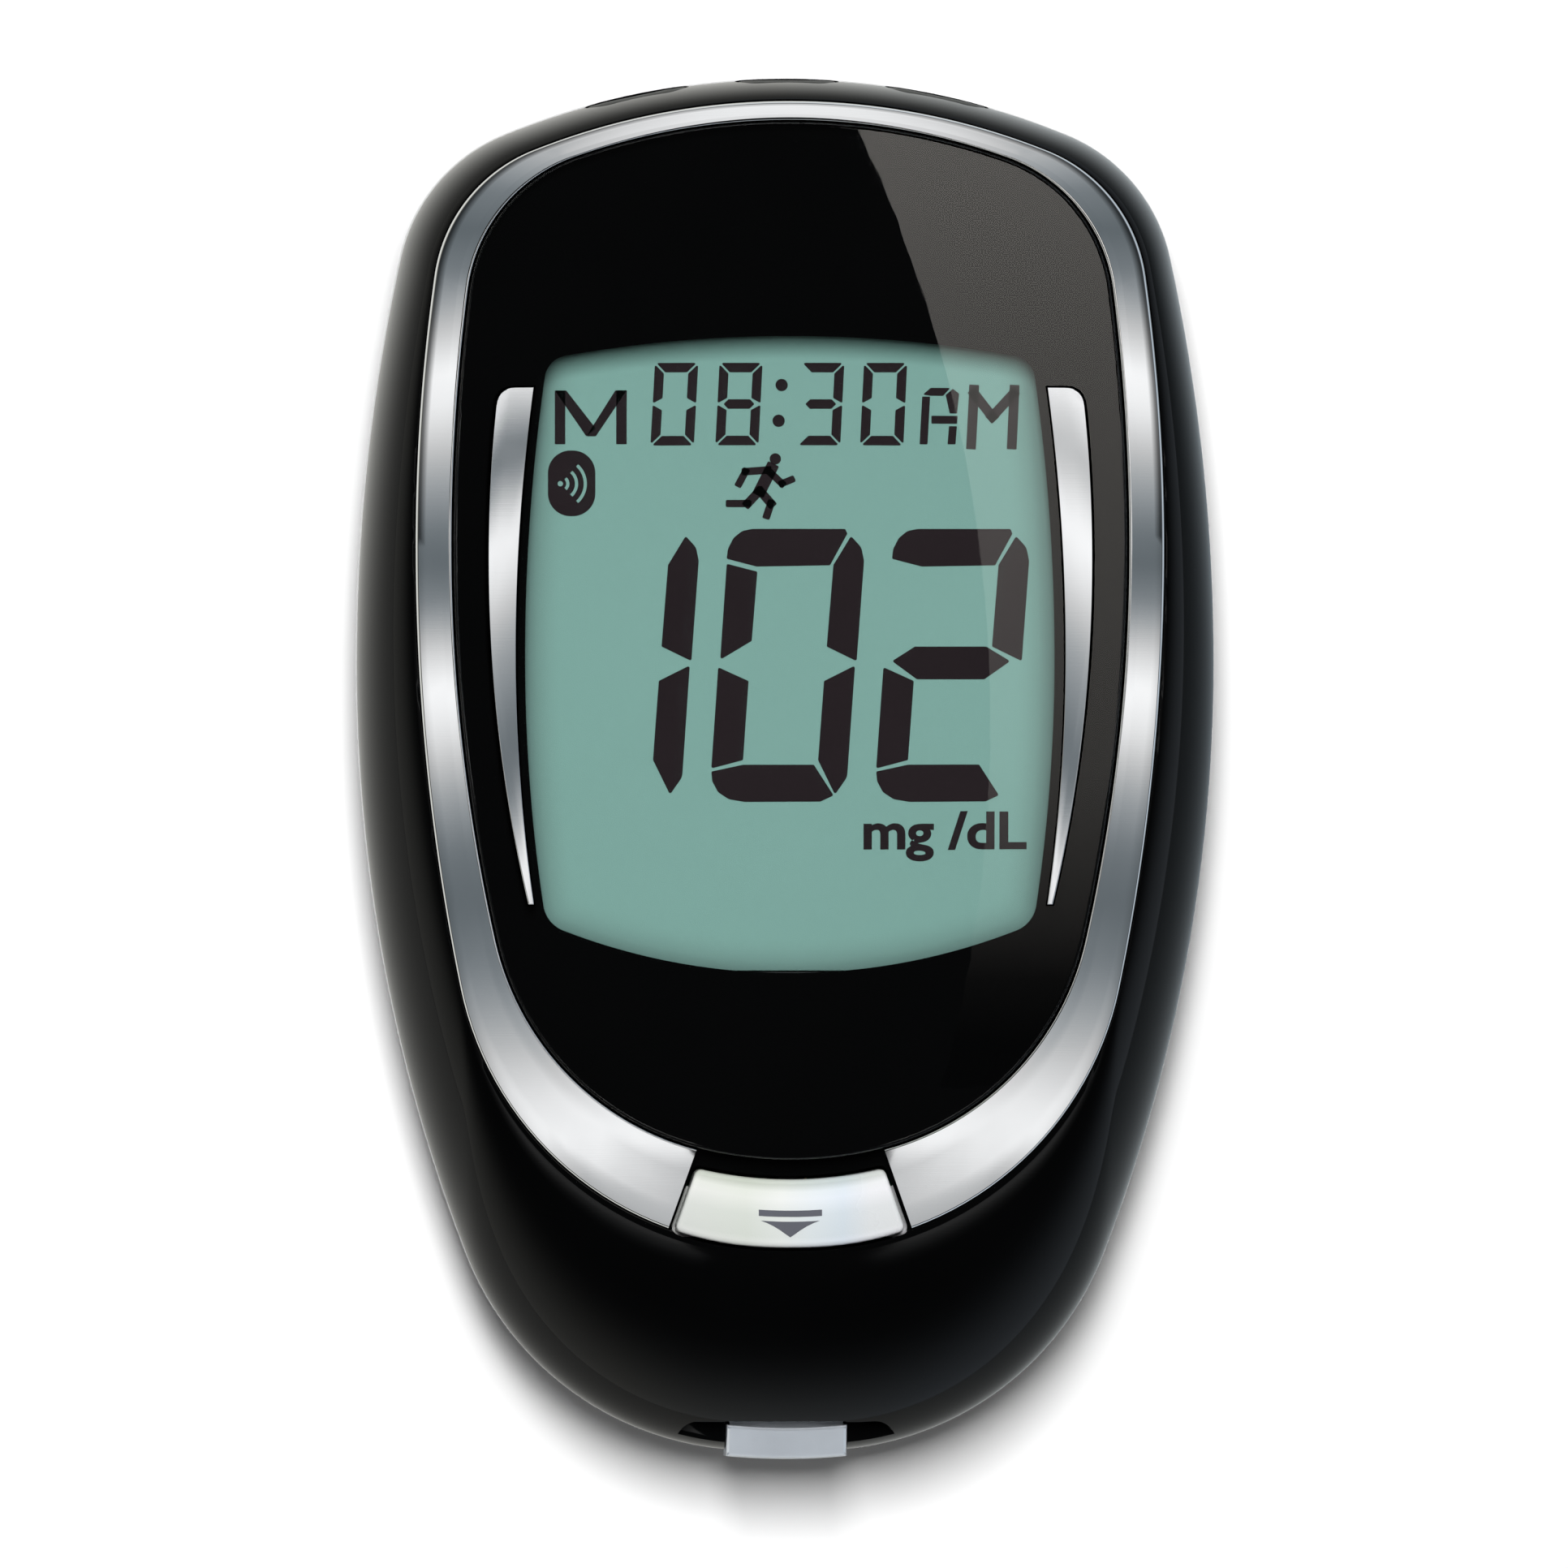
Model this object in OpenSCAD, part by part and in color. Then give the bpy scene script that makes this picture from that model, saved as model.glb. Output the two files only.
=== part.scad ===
// Blood glucose meter: a pebble-shaped case that lies on its back, display up, strip port in the tail.
// X runs across the case, +Y towards the top end, +Z out of the display. Millimetres and degrees.
// The origin is under the middle of the case, on the plane that the meter rests on.
// An outline is a closed curve of arcs: a flank, a shoulder and a crown in each quarter, all tangent.

/* [Case] */
// Length over all, from the top end to the tip of the port nose
overall_length = 87.4; // [80:0.2:94]
// Width of the case at its widest line
case_width = 54.4; // [50:0.2:60]
// Height of the widest line above the middle of the length
case_widest_y = 6.7; // [2:0.1:10]
// Radius of the crown at the top end
case_crown_r = 47; // [38:1:60]
// Radius of the shoulders at the top end
case_shoulder_r = 11; // [9:0.5:14]
// Radius of the flanks above the widest line
case_flank_r = 120; // [90:1:160]
// Radius of the crown at the tail
tail_crown_r = 40; // [32:1:60]
// Radius of the shoulders at the tail
tail_shoulder_r = 19.5; // [16:0.5:22]
// Radius of the flanks below the widest line
tail_flank_r = 104; // [85:1:140]
// Height of the parting line between the covers
split_z = 8; // [7.6:0.1:8.6]
// Thickness of the case walls
wall = 1.6; // [1.2:0.1:2]
// Thickness of the back cover's floor
floor_t = 1.6; // [1.4:0.1:2]
// How far the flat base lies inside the widest outline
base_inset = 6; // [4:0.2:7]
// Height of the tongue that locates the two covers
tongue_h = 1.1; // [0.6:0.1:1.2]
// Thickness of that tongue
tongue_t = 0.7; // [0.5:0.05:0.8]

/* [Face] */
// Height of the case rim round the face pocket
rim_z = 16; // [15.4:0.1:16.6]
// Depth of the face pocket below the rim
pocket_depth = 1; // [0.8:0.1:1.4]
// Thickness of the deck under the pocket
deck_t = 1.4; // [1:0.1:1.6]
// Slope angle at which the case runs into the rim, where 90 is level
rim_angle = 82; // [70:1:88]
// Case margin beside the face
face_margin_side = 3.5; // [3:0.1:4.5]
// Case margin above the face
face_margin_top = 1.5; // [1.3:0.1:2.5]
// Case margin below the face
face_margin_tail = 13; // [12:0.1:15]
// Height of the face's widest line above the middle of the length
face_widest_y = 14; // [10:0.5:16]
// Radius of the face's top crown
face_crown_r = 43.7; // [36:0.1:52]
// Radius of the face's top shoulders
face_shoulder_r = 10; // [8:0.5:12]
// Radius of the face's upper flanks
face_flank_r = 123; // [100:1:160]
// Radius of the face's tail crown
face_tail_crown_r = 40; // [30:1:60]
// Radius of the face's tail shoulders
face_tail_shoulder_r = 20.5; // [17:0.5:22]
// Radius of the face's lower flanks
face_tail_flank_r = 138; // [110:1:170]

/* [Trim ring] */
// Width of the ring at the sides
ring_side_w = 2.3; // [1.8:0.1:3]
// Width of the ring at the top
ring_top_w = 1.25; // [1:0.05:2]
// Width of the ring at the tail
ring_tail_w = 5.5; // [4.8:0.1:6.5]
// How far the ring's outer edge stands above the case rim
ring_stand = 0.15; // [0:0.05:0.4]
// How much higher the ring's inner edge is than its outer edge
ring_rise = 0.6; // [0.2:0.05:0.9]
// Width and height of the ring's edge bevels
ring_bevel = 0.2; // [0.1:0.05:0.3]
// Distance from the face's tail to where the two cuts beside the button would meet
fan_reach = 22.9; // [21:0.1:25]
// Angle of each cut from the middle line
fan_angle = 19.6; // [18:0.1:22]

/* [Lens and display] */
// Radius of the lens's top crown
lens_crown_r = 40.9; // [34:0.1:50]
// Radius of the lens's top shoulders
lens_shoulder_r = 10.2; // [8:0.1:12]
// Radius of the lens's upper flanks
lens_flank_r = 129; // [100:1:160]
// Radius of the lens's tail crown
lens_tail_crown_r = 24; // [22:0.5:30]
// Radius of the lens's tail shoulders
lens_tail_shoulder_r = 17.6; // [14:0.1:20]
// Radius of the lens's lower flanks
lens_tail_flank_r = 113; // [90:1:140]
// Rise of the lens from its edge to its middle
lens_rise = 0.8; // [0.3:0.05:1]
// How far the lens edge lies under the ring's inner edge
lens_step = 0.05; // [0:0.05:0.3]
// Thickness of the black mask behind the lens
mask_t = 0.15; // [0.1:0.05:0.3]
// Lens margin beside the display window
window_margin_side = 4.7; // [4.2:0.1:6]
// Height of the window's widest line above the middle of the length
window_widest_y = 7; // [4:0.5:10]
// Lens margin above the window
window_margin_top = 13.65; // [12.5:0.05:16]
// Lens margin below the window
window_margin_tail = 11.7; // [10.5:0.1:14]
// Radius of the window's top edge
window_crown_r = 82; // [60:1:120]
// Radius of the window's corners
window_corner_r = 2.5; // [1.5:0.1:4]
// Radius of the window's upper sides
window_flank_r = 127; // [100:1:160]
// Radius of the window's bottom edge
window_tail_crown_r = 39.5; // [32:0.5:60]
// Radius of the window's lower sides
window_tail_flank_r = 107; // [90:1:140]
// How far the deck's opening is wider than the window, all round
window_relief = 0.8; // [0.4:0.1:1.2]
// Border of the display glass past the window, all round
glass_border = 1.3; // [1.1:0.1:1.6]
// Thickness of the foam gasket over the glass
gasket_t = 0.3; // [0.2:0.05:0.5]
// Thickness of the front glass
front_glass_t = 1.1; // [0.8:0.1:1.3]
// Thickness of the rear glass
rear_glass_t = 0.7; // [0.5:0.1:1]
// Thickness of the reflector sheet
reflector_t = 0.2; // [0.1:0.05:0.3]
// Wall thickness of the display holder
holder_wall = 0.9; // [0.7:0.1:1.2]
// Thickness of the plate under the reflector
holder_plate_t = 0.8; // [0.6:0.1:1]
// Thickness of the rubber contact strip along the glass
zebra_t = 1.5; // [1.2:0.1:2]
// Glass left free past each end of that strip
zebra_margin = 3; // [2:0.1:5]
// Width of the lens's edge bevel
lens_bevel = 0.2; // [0.1:0.05:0.3]

/* [Accent strips] */
// Gap between the window and each strip
accent_gap = 0.65; // [0.5:0.05:1]
// Lens margin beside a strip, where the strip reaches out furthest
accent_margin = 2.25; // [1.9:0.05:2.6]
// Height of that place above the middle of the length
accent_widest_y = 13.2; // [11:0.1:15]
// Width of a strip at its tip
accent_tip_w = 0.38; // [0.3:0.01:0.6]
// How far the strips' tops lie below the window's top
accent_drop = 3.2; // [2:0.1:5]
// How far the strips' tips lie above the window's bottom
accent_lift = 4.5; // [3.8:0.1:7]
// Radius of the outer top corner
accent_corner_r = 1.4; // [0.8:0.1:1.6]
// How far the strips stand above the lens
accent_stand = 0.05; // [0:0.05:0.2]

/* [Strip release] */
// Gap between the lens edge and the button's upper edge
button_recess = 1.3; // [1:0.1:1.6]
// Gap between the button's sides and the ring ends
button_side_gap = 0.4; // [0.3:0.05:0.6]
// How far the button stands above the ring
button_stand = 0.1; // [0:0.05:0.3]
// Travel of the button
button_travel = 1; // [0.8:0.1:1.1]
// Travel of the ejector for each millimetre of the button's
ejector_ratio = 1.5; // [1.2:0.1:1.6]
// Thickness of the button's stop flange
flange_t = 0.8; // [0.6:0.1:1]
// Width of the stop flange
flange_w = 16.8; // [16:0.2:17.2]
// Diameter of the cross pin that drives the ejector
pin_d = 1; // [0.8:0.1:1.1]
// Height of that pin's axis above the strip connector
pin_rise = 2.3; // [2.1:0.1:2.5]
// Distance of the pin and springs inside the case's tail
pin_inset = 15.3; // [14.9:0.1:15.7]
// Thickness of each prong that holds the pin
prong_t = 1; // [0.8:0.1:1.2]
// Thickness of the ejector's slotted web
web_t = 1.2; // [1:0.1:1.4]
// Thickness of the ejector's base
ejector_t = 0.8; // [0.6:0.1:1]
// Width of the ejector's base
ejector_w = 6.4; // [6:0.1:6.6]
// Width of the finger that pushes the strip
finger_w = 2.4; // [2:0.1:2.6]
// Flange left free outside each button spring
spring_margin = 0.6; // [0.4:0.05:0.7]
// Outer diameter of the button springs
spring_d = 2.4; // [2:0.1:2.6]
// Wire diameter of the button springs
spring_wire = 0.35; // [0.25:0.05:0.4]
// Turns of each button spring
spring_turns = 4; // [3:1:6]
// Length of the ejector in front of the pin
ejector_front = 6; // [5:0.1:6.4]
// Length of the finger that pushes the strip
finger_t = 1.2; // [1:0.1:1.4]
// Material round the pin in the prongs and the web
pin_wall = 0.3; // [0.25:0.05:0.4]
// Gap between the flange and the deck above it
flange_drop = 0.35; // [0.3:0.05:0.5]
// How far the flange reaches past the face outline
flange_lip = 0.8; // [0.5:0.1:1]
// Height of the studs that hold the springs in place
stud_h = 0.9; // [0.6:0.1:1.2]

/* [Strip port] */
// Width of the port nose
nose_w = 7.6; // [7:0.1:9]
// How far the nose stands past the case
nose_reach = 0.4; // [0.2:0.1:0.8]
// Length of the nose that shows inside the case outline
nose_show = 1.6; // [1.3:0.1:2]
// Height of the nose where it leaves the cover
nose_top_z = 11.5; // [11:0.1:12]
// Height of the nose at its tip
nose_tip_z = 10.2; // [9.9:0.1:10.6]
// Height of the nose's underside
nose_bottom_z = 5.2; // [4.6:0.1:5.8]
// Width of the scoop round the nose
scoop_w = 14; // [12:0.2:15]
// Length of the scoop along the case
scoop_length = 2; // [1.6:0.1:2.2]
// Height of the scoop's floor
scoop_z = 10; // [9.8:0.1:10.6]
// Width of the test strip
strip_w = 6; // [5:0.1:6.2]
// Height of the strip's underside above the board
strip_lift = 0.85; // [0.8:0.05:0.95]
// Height of the strip slot
slot_h = 0.7; // [0.5:0.05:0.9]
// Thickness of the connector's roof
connector_roof = 0.8; // [0.6:0.1:0.9]
// Width of the strip connector
connector_w = 10; // [9.6:0.1:10.2]
// Length of the strip connector
connector_length = 12; // [11:0.2:12.4]
// Number of gold contact leaves
contact_count = 5; // [3:1:5]
// Distance between the contact leaves
contact_pitch = 1.1; // [1:0.05:1.2]
// Width of each contact leaf
contact_w = 0.6; // [0.4:0.05:0.7]
// Thickness of each contact leaf
contact_t = 0.15; // [0.1:0.05:0.2]
// Length of the port behind the case wall
port_depth = 2.5; // [2.3:0.1:2.8]
// Depth of the flared mouth of the strip slot
mouth_depth = 1.1; // [0.8:0.1:1.4]
// Width of that flare on each side
mouth_flare = 0.4; // [0.3:0.05:0.5]
// Thickness of the flange that keeps the port in
port_flange_t = 1.4; // [1:0.1:1.5]
// Corner radius of the scoop
scoop_r = 1.4; // [0.8:0.1:1.6]
// Thickness of the rails that guide the ejector
rail_t = 0.8; // [0.6:0.1:1]
// Length of the lips that keep the ejector down
lip_l = 2; // [1.5:0.1:2.4]
// Width of those lips
lip_w = 0.6; // [0.4:0.1:0.8]
// Thickness of those lips
lip_t = 0.5; // [0.4:0.1:0.6]
// Length of each contact leaf's foot on the board
contact_foot = 3.4; // [2.8:0.2:4]
// Length of the rise from the foot to the bump, and of the fall behind it
contact_rise = 3; // [2.5:0.1:3.2]
// Length of the flat bump that meets the strip
contact_bump = 1.5; // [1:0.1:1.8]

/* [Setting keys] */
// Distance between neighbouring keys
key_pitch = 9.5; // [8:0.5:11]
// Width of each key
key_w = 6.4; // [5:0.1:7]
// Height of each key
key_h = 3; // [2.4:0.1:3.2]
// Height of the keys' middle above the base
key_z = 11; // [10.9:0.05:11.1]
// How far the keys lie under the case surface
key_recess = 0.35; // [0.3:0.05:0.6]
// Travel of each key
key_travel = 0.3; // [0.2:0.05:0.4]
// Border of the flange that keeps a key in
key_flange = 0.6; // [0.4:0.1:0.7]
// Room between that flange and the case wall
key_flange_room = 1.2; // [1:0.1:1.4]
// Thickness of that flange
key_flange_t = 0.8; // [0.6:0.1:1]
// Length of the stem between the flange and the switch
key_stem = 0.6; // [0.4:0.1:0.8]
// Width and height of that stem
key_stem_w = 1.6; // [1.2:0.1:2]
// Length of the nub on each switch
nub_l = 0.6; // [0.4:0.1:0.8]
// Diameter of that nub
nub_d = 1.4; // [1:0.1:1.6]
// Width of each switch behind a key
switch_w = 4.4; // [4:0.1:5]
// Height of each switch
switch_h = 4.2; // [4:0.1:4.5]
// Depth of each switch
switch_depth = 2.6; // [2:0.1:3]

/* [Board] */
// Thickness of the main board
board_t = 1; // [0.8:0.1:1.2]
// Gap between the board's edge and the case wall
board_gap = 0.8; // [0.6:0.1:1.2]
// Side of the square processor chip
chip_w = 9; // [7:0.5:10]
// Height of the processor chip
chip_h = 1.2; // [0.9:0.1:1.6]
// Width of the radio module
radio_w = 9; // [7:0.5:10]
// Length of the radio module
radio_length = 11; // [9:0.5:13]
// Height of the radio module's can
radio_h = 1.6; // [1.2:0.1:1.8]
// Diameter of the buzzer
buzzer_d = 11; // [9:0.5:12]
// Height of the buzzer
buzzer_h = 1.9; // [1.5:0.1:2]
// Diameter of the buzzer's sound hole
buzzer_hole_d = 1.6; // [1:0.1:2]
// Distance between the processor's pins
pin_pitch = 0.9; // [0.7:0.1:1]
// Width of each pin
pin_w = 0.4; // [0.3:0.05:0.5]
// Length of each pin outside the chip
pin_l = 0.6; // [0.4:0.1:0.8]
// Height of each pin
pin_h = 0.3; // [0.2:0.05:0.4]
// Thickness of the radio module's own board
radio_board_t = 0.6; // [0.4:0.1:0.8]
// Length left bare for the radio's antenna
antenna_length = 3; // [2:0.5:4]
// Border of the radio's own board round its can
radio_border = 0.4; // [0.2:0.1:0.6]
// Length of a small chip part on the board
small_l = 1.6; // [1.2:0.1:2]
// Width of a small chip part
small_w = 0.8; // [0.6:0.1:1]
// Height of a small chip part
small_h = 0.6; // [0.4:0.1:0.9]
// Distance between small chip parts in a row
small_pitch = 2.8; // [2.4:0.1:3.2]
// Distance of the processor's middle from the middle line
chip_x = 5; // [4:0.1:6]
// Distance of the processor's middle below the window's top
chip_drop = 18.3; // [17.8:0.1:19.5]
// Gap between the radio module and the holder's wall
radio_gap = 1.6; // [1:0.1:2]
// Distance of the radio's middle below the window's top
radio_drop = 6.3; // [5.8:0.1:6.8]
// Gap between the buzzer and the holder's wall
buzzer_gap = 2.6; // [1:0.1:3]
// Distance of the buzzer's middle below the window's top
buzzer_drop = 8.3; // [7:0.1:9]
// Distance of the fuse from the middle line
fuse_x = 9; // [8:0.1:10]
// Distance of the fuse below the window's top
fuse_drop = 26.3; // [25:0.1:27]
// Distance of the crystal from the middle line
crystal_x = 3; // [2.5:0.1:3.2]
// Distance of the crystal above the contact strip
crystal_rise = 7.8; // [6:0.1:8]

/* [Battery] */
// Diameter of a coin cell
cell_d = 20; // [19.6:0.1:20.4]
// Thickness of a coin cell
cell_t = 3.2; // [2.9:0.1:3.3]
// Distance of the bay's middle above the middle of the length
bay_y = 4.5; // [3.5:0.1:5]
// Thickness of the bay's walls
bay_wall = 1.2; // [0.9:0.1:1.4]
// Thickness of the bay's roof
bay_roof_t = 0.8; // [0.6:0.1:1]
// Room over the cells for their spring leaves
leaf_room = 0.6; // [0.5:0.05:0.8]
// Thickness of the battery door
door_t = 1.4; // [1.2:0.05:1.5]
// Width of the ledge that the door lies on
door_ledge = 1.7; // [1.4:0.1:2]
// Thickness of that ledge
ledge_t = 0.9; // [0.7:0.1:1]
// Height of the door's inner ribs, which hold the cells up
door_rib_h = 0.6; // [0.4:0.1:0.8]
// Corner radius of the door
door_corner_r = 2.5; // [1.5:0.1:4]
// Half length of each rib
door_rib_l = 3; // [2:0.5:4]
// Thickness of each rib
door_rib_t = 1; // [0.8:0.1:1.4]
// Distance of each door tab from the middle line
tab_x = 8.4; // [8.2:0.1:8.6]
// Width of each door tab
tab_w = 2.6; // [2:0.1:2.8]
// Thickness of each tab's arm
tab_arm_t = 1.3; // [1:0.1:1.5]
// Thickness of each tab's hook
tab_t = 0.8; // [0.6:0.1:1]
// Height of each hook above the floor of its slot
tab_lift = 0.52; // [0.4:0.02:0.6]
// Length of the spring leaf over each cell
spring_l = 12; // [8:0.5:14]
// Width of that leaf
spring_w = 4.8; // [3:0.2:6]
// Width of the leaf's tail, which runs up to the board
tail_w = 1.6; // [1:0.1:2]
// Side of each square bump on the leaves
bump_w = 2; // [1.4:0.1:2.4]
// Distance of the bumps from the cell's middle
bump_y = 4; // [3:0.1:4.5]
// Step in the thickness of a cell at its rim
cell_step = 0.3; // [0.2:0.05:0.5]
// Width of that rim
cell_rim = 0.8; // [0.6:0.1:1.2]
// Number of grip grooves in the door
groove_count = 5; // [3:1:6]
// Distance between the grooves
groove_pitch = 1; // [0.8:0.1:1.1]
// Width of each groove
groove_w = 0.4; // [0.3:0.05:0.5]
// Depth of each groove
groove_depth = 0.3; // [0.2:0.05:0.4]
// Length of each groove across the door
groove_l = 7; // [5:0.5:9]
// Thickness of the spring leaves and contact strip
leaf_t = 0.2; // [0.15:0.05:0.25]
// Length of the finger recess beside the door
recess_length = 4; // [3:0.5:5]
// Width of the finger recess
recess_w = 11; // [8:0.5:13]
// Corner radius of the finger recess
recess_r = 1.5; // [1:0.1:1.9]
// Depth of the finger recess
recess_depth = 0.8; // [0.5:0.1:0.9]
// Width of the bare rating label
label_w = 15; // [10:0.5:18]
// Length of the bare rating label
label_length = 7; // [5:0.5:8]
// Corner radius of the rating label
label_r = 0.8; // [0.4:0.1:1.5]
// Thickness of the rating label
label_t = 0.12; // [0.05:0.01:0.2]

/* [Fasteners] */
// Diameter of the case screws
screw_d = 1.9; // [1.6:0.1:2]
// Head diameter of the case screws
screw_head_d = 3.8; // [3.2:0.1:4]
// Head height of the case screws
screw_head_h = 1.3; // [1:0.1:1.5]
// How far the screw heads lie under the base
screw_sink = 0.6; // [0.4:0.1:1]
// How far the case screws reach into their bosses
screw_grip = 4; // [3:0.5:4.5]
// Distance of the top screws below the top end
top_screw_drop = 11.1; // [10.5:0.1:12]
// Gap between the key switches and the bosses of the top screws beside them
switch_gap = 0.55; // [0.4:0.05:0.8]
// Gap between the stop flange and the bosses of the tail screws beside it
boss_gap = 0.65; // [0.5:0.05:0.9]
// How far the tail screws lie above the button's pin
tail_screw_rise = 1.95; // [1:0.05:3]
// Outer diameter of the screw bosses
boss_d = 4.8; // [4.4:0.1:5]
// Diameter of the board screws
board_screw_d = 1.6; // [1.4:0.1:1.8]
// Head diameter of the board screws
board_screw_head_d = 2.8; // [2.4:0.1:3]
// Head height of the board screws
board_screw_head_h = 0.7; // [0.5:0.05:0.8]
// How far the board screws reach into their bosses
board_screw_grip = 2; // [1.5:0.1:2.5]
// Width of the cross cut into the case screws' heads
cross_w = 2.2; // [1.6:0.1:2.6]
// Width of the slots in the screw heads
slot_w = 0.5; // [0.4:0.05:0.6]
// Wall of the bosses round the board screws
boss_wall = 1.1; // [0.9:0.1:1.2]
// Gap between the strip connector and those bosses
board_boss_gap = 1.25; // [0.9:0.05:1.6]
// How far the board screws lie above the back of the port
board_screw_rise = 4; // [3:0.1:5]

/* [Clearances] */
// Gap between pieces that only lie against each other
seat = 0.05; // [0.03:0.01:0.1]
// Gap round pieces that are set into a pocket
set_gap = 0.08; // [0.05:0.01:0.15]
// Gap round pieces that slide or swing
run_gap = 0.2; // [0.15:0.01:0.25]
// Gap between the cross pin and its slot
pin_gap = 0.08; // [0.05:0.01:0.1]
// Gap round a screw in its pilot hole
thread_gap = 0.05; // [0.03:0.01:0.08]

/* [Hidden] */
$fn = 48;

// Steps along the flank, shoulder and crown of a quarter outline
flank_steps = 4;
shoulder_steps = 7;
crown_steps = 5;
quarter_steps = flank_steps + shoulder_steps + crown_steps;
// Rings up a curved wall
wall_steps = 8;
// Steps from the lens edge to its middle, and along an accent strip's sides and corner
lens_steps = 5;
accent_steps = 12;
corner_steps = 4;
// Share of the roundest possible shoulder that leaves room for a crown
crown_room = 0.96;
// Overshoot that lets a cut run clear of a face
over = 1;
// Room past the case in which a cut may end
past = 60;

top_y = overall_length / 2;
tip_y = -overall_length / 2;
tail_y = tip_y + nose_reach;
face_top_y = top_y - face_margin_top;
face_tail_y = tail_y + face_margin_tail;
lens_top_y = face_top_y - ring_top_w;
lens_tail_y = face_tail_y + ring_tail_w;
window_top = lens_top_y - window_margin_top;
window_bottom = lens_tail_y + window_margin_tail;
accent_top = window_top - accent_drop;
accent_bottom = window_bottom + accent_lift;
fan_y = face_tail_y + fan_reach;
pin_y = tail_y + pin_inset;

// One half of an outline; its shoulder is kept small enough to leave room for a crown
function half_of(half_w, reach, crown_r, shoulder_r, flank_r) =
    let (
        past_middle = flank_r - half_w,
        roundest = (flank_r * flank_r - past_middle * past_middle - reach * reach) / (2 * (flank_r - reach))
    )
    [reach, crown_r, min(shoulder_r, roundest * crown_room), flank_r];

// An outline is [half width, widest line, top half, tail half]; a half is [reach, crown, shoulder, flank]
case_half_w = case_width / 2;
case_line = [case_half_w, case_widest_y,
    half_of(case_half_w, top_y - case_widest_y, case_crown_r, case_shoulder_r, case_flank_r),
    half_of(case_half_w, case_widest_y - tail_y, tail_crown_r, tail_shoulder_r, tail_flank_r)];
face_half_w = case_half_w - face_margin_side;
face_line = [face_half_w, face_widest_y,
    half_of(face_half_w, face_top_y - face_widest_y, face_crown_r, face_shoulder_r, face_flank_r),
    half_of(
        face_half_w, face_widest_y - face_tail_y,
        face_tail_crown_r, face_tail_shoulder_r, face_tail_flank_r
    )];
lens_half_w = face_half_w - ring_side_w;
lens_line = [lens_half_w, face_widest_y,
    half_of(lens_half_w, lens_top_y - face_widest_y, lens_crown_r, lens_shoulder_r, lens_flank_r),
    half_of(
        lens_half_w, face_widest_y - lens_tail_y,
        lens_tail_crown_r, lens_tail_shoulder_r, lens_tail_flank_r
    )];
window_half_w = lens_half_w - window_margin_side;
window_line = [window_half_w, window_widest_y,
    half_of(window_half_w, window_top - window_widest_y, window_crown_r, window_corner_r, window_flank_r),
    half_of(
        window_half_w, window_widest_y - window_bottom,
        window_tail_crown_r, window_corner_r, window_tail_flank_r
    )];

// Heights from the face down to the board
pocket_z = rim_z - pocket_depth;
deck_under_z = pocket_z - deck_t;
glass_z = deck_under_z - gasket_t;
rear_glass_z = glass_z - front_glass_t;
reflector_z = rear_glass_z - rear_glass_t;
plate_z = reflector_z - reflector_t;
ring_outer_z = rim_z + ring_stand;
ring_inner_z = ring_outer_z + ring_rise;
lens_bottom_z = pocket_z + mask_t;
lens_edge_z = ring_inner_z - lens_step;
lens_top_z = lens_edge_z + lens_rise;

// Heights from the base up to the board
cell_z = door_t + door_rib_h + seat;
bay_roof_z = cell_z + cell_t + leaf_room;
ledge_z = door_t + run_gap;
ledge_top_z = ledge_z + ledge_t;
board_z = bay_roof_z + bay_roof_t + seat;
board_top_z = board_z + board_t;

// Places across the base
bay_half_x = cell_d / 2 + run_gap * 2;
cell_shift = (cell_d + run_gap * 2) / 2;
bay_half_y = cell_shift + cell_d / 2 + run_gap * 2;
door_half_x = bay_half_x + door_ledge;
door_half_y = bay_half_y + door_ledge;
hinge_y = bay_y + door_half_y;
door_low_y = bay_y - door_half_y;
tail_base_y = tail_y + base_inset;

tab_slot_z = ledge_z + ledge_t / 2;
tab_low_z = tab_slot_z + tab_lift;
tab_top_z = tab_low_z + tab_t;
tab_slot_top_z = tab_top_z + 2 * run_gap;
tail_gap = tail_w / 2 + run_gap;
leaf_z = bay_roof_z - seat - leaf_t;
label_y = (door_low_y - recess_length + tail_base_y) / 2;

// The strip's way through the port and connector
strip_z = board_top_z + strip_lift;
connector_top_z = strip_z + slot_h + connector_roof;
port_back_y = tail_y + wall + port_depth;
connector_front_y = port_back_y + set_gap;
connector_back_y = connector_front_y + connector_length;
pin_z = connector_top_z + pin_rise;
pin_eject = button_travel * ejector_ratio;
pin_slot_d = pin_d + 2 * pin_gap;
prong_half = pin_d / 2 + pin_wall - pin_gap + seat / 2;
prong_x = web_t / 2 + run_gap;
web_top_z = pin_z + pin_slot_d / 2 + pin_wall;
web_low_y = pin_y - pin_slot_d / 2 - 2 * pin_wall;
web_high_y = pin_y + pin_eject + pin_slot_d / 2 + 2 * pin_wall;
ejector_z = connector_top_z + seat;
ejector_low_y = pin_y - ejector_front;
finger_y = connector_back_y + 2 * run_gap;
rail_low_y = ejector_low_y - wall / 2;
flange_top_z = deck_under_z - flange_drop;
flange_under_z = flange_top_z - flange_t;
flange_high_y = lens_tail_y + run_gap;
spring_x = flange_w / 2 - spring_margin - spring_d / 2;

// The keys' way through the top end, measured in from the case outline
key_flange_in = wall + key_flange_room;
key_stem_in = key_flange_in + key_flange_t;

// The display glass
glass_x = window_half_w + glass_border;
glass_low_y = window_bottom - glass_border;
glass_high_y = window_top + glass_border;
zebra_low_y = glass_low_y + set_gap;
zebra_high_y = zebra_low_y + zebra_t;
rear_low_y = zebra_high_y + set_gap;
zebra_half_l = glass_x - zebra_margin;
holder_in_x = glass_x - holder_wall;

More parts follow.
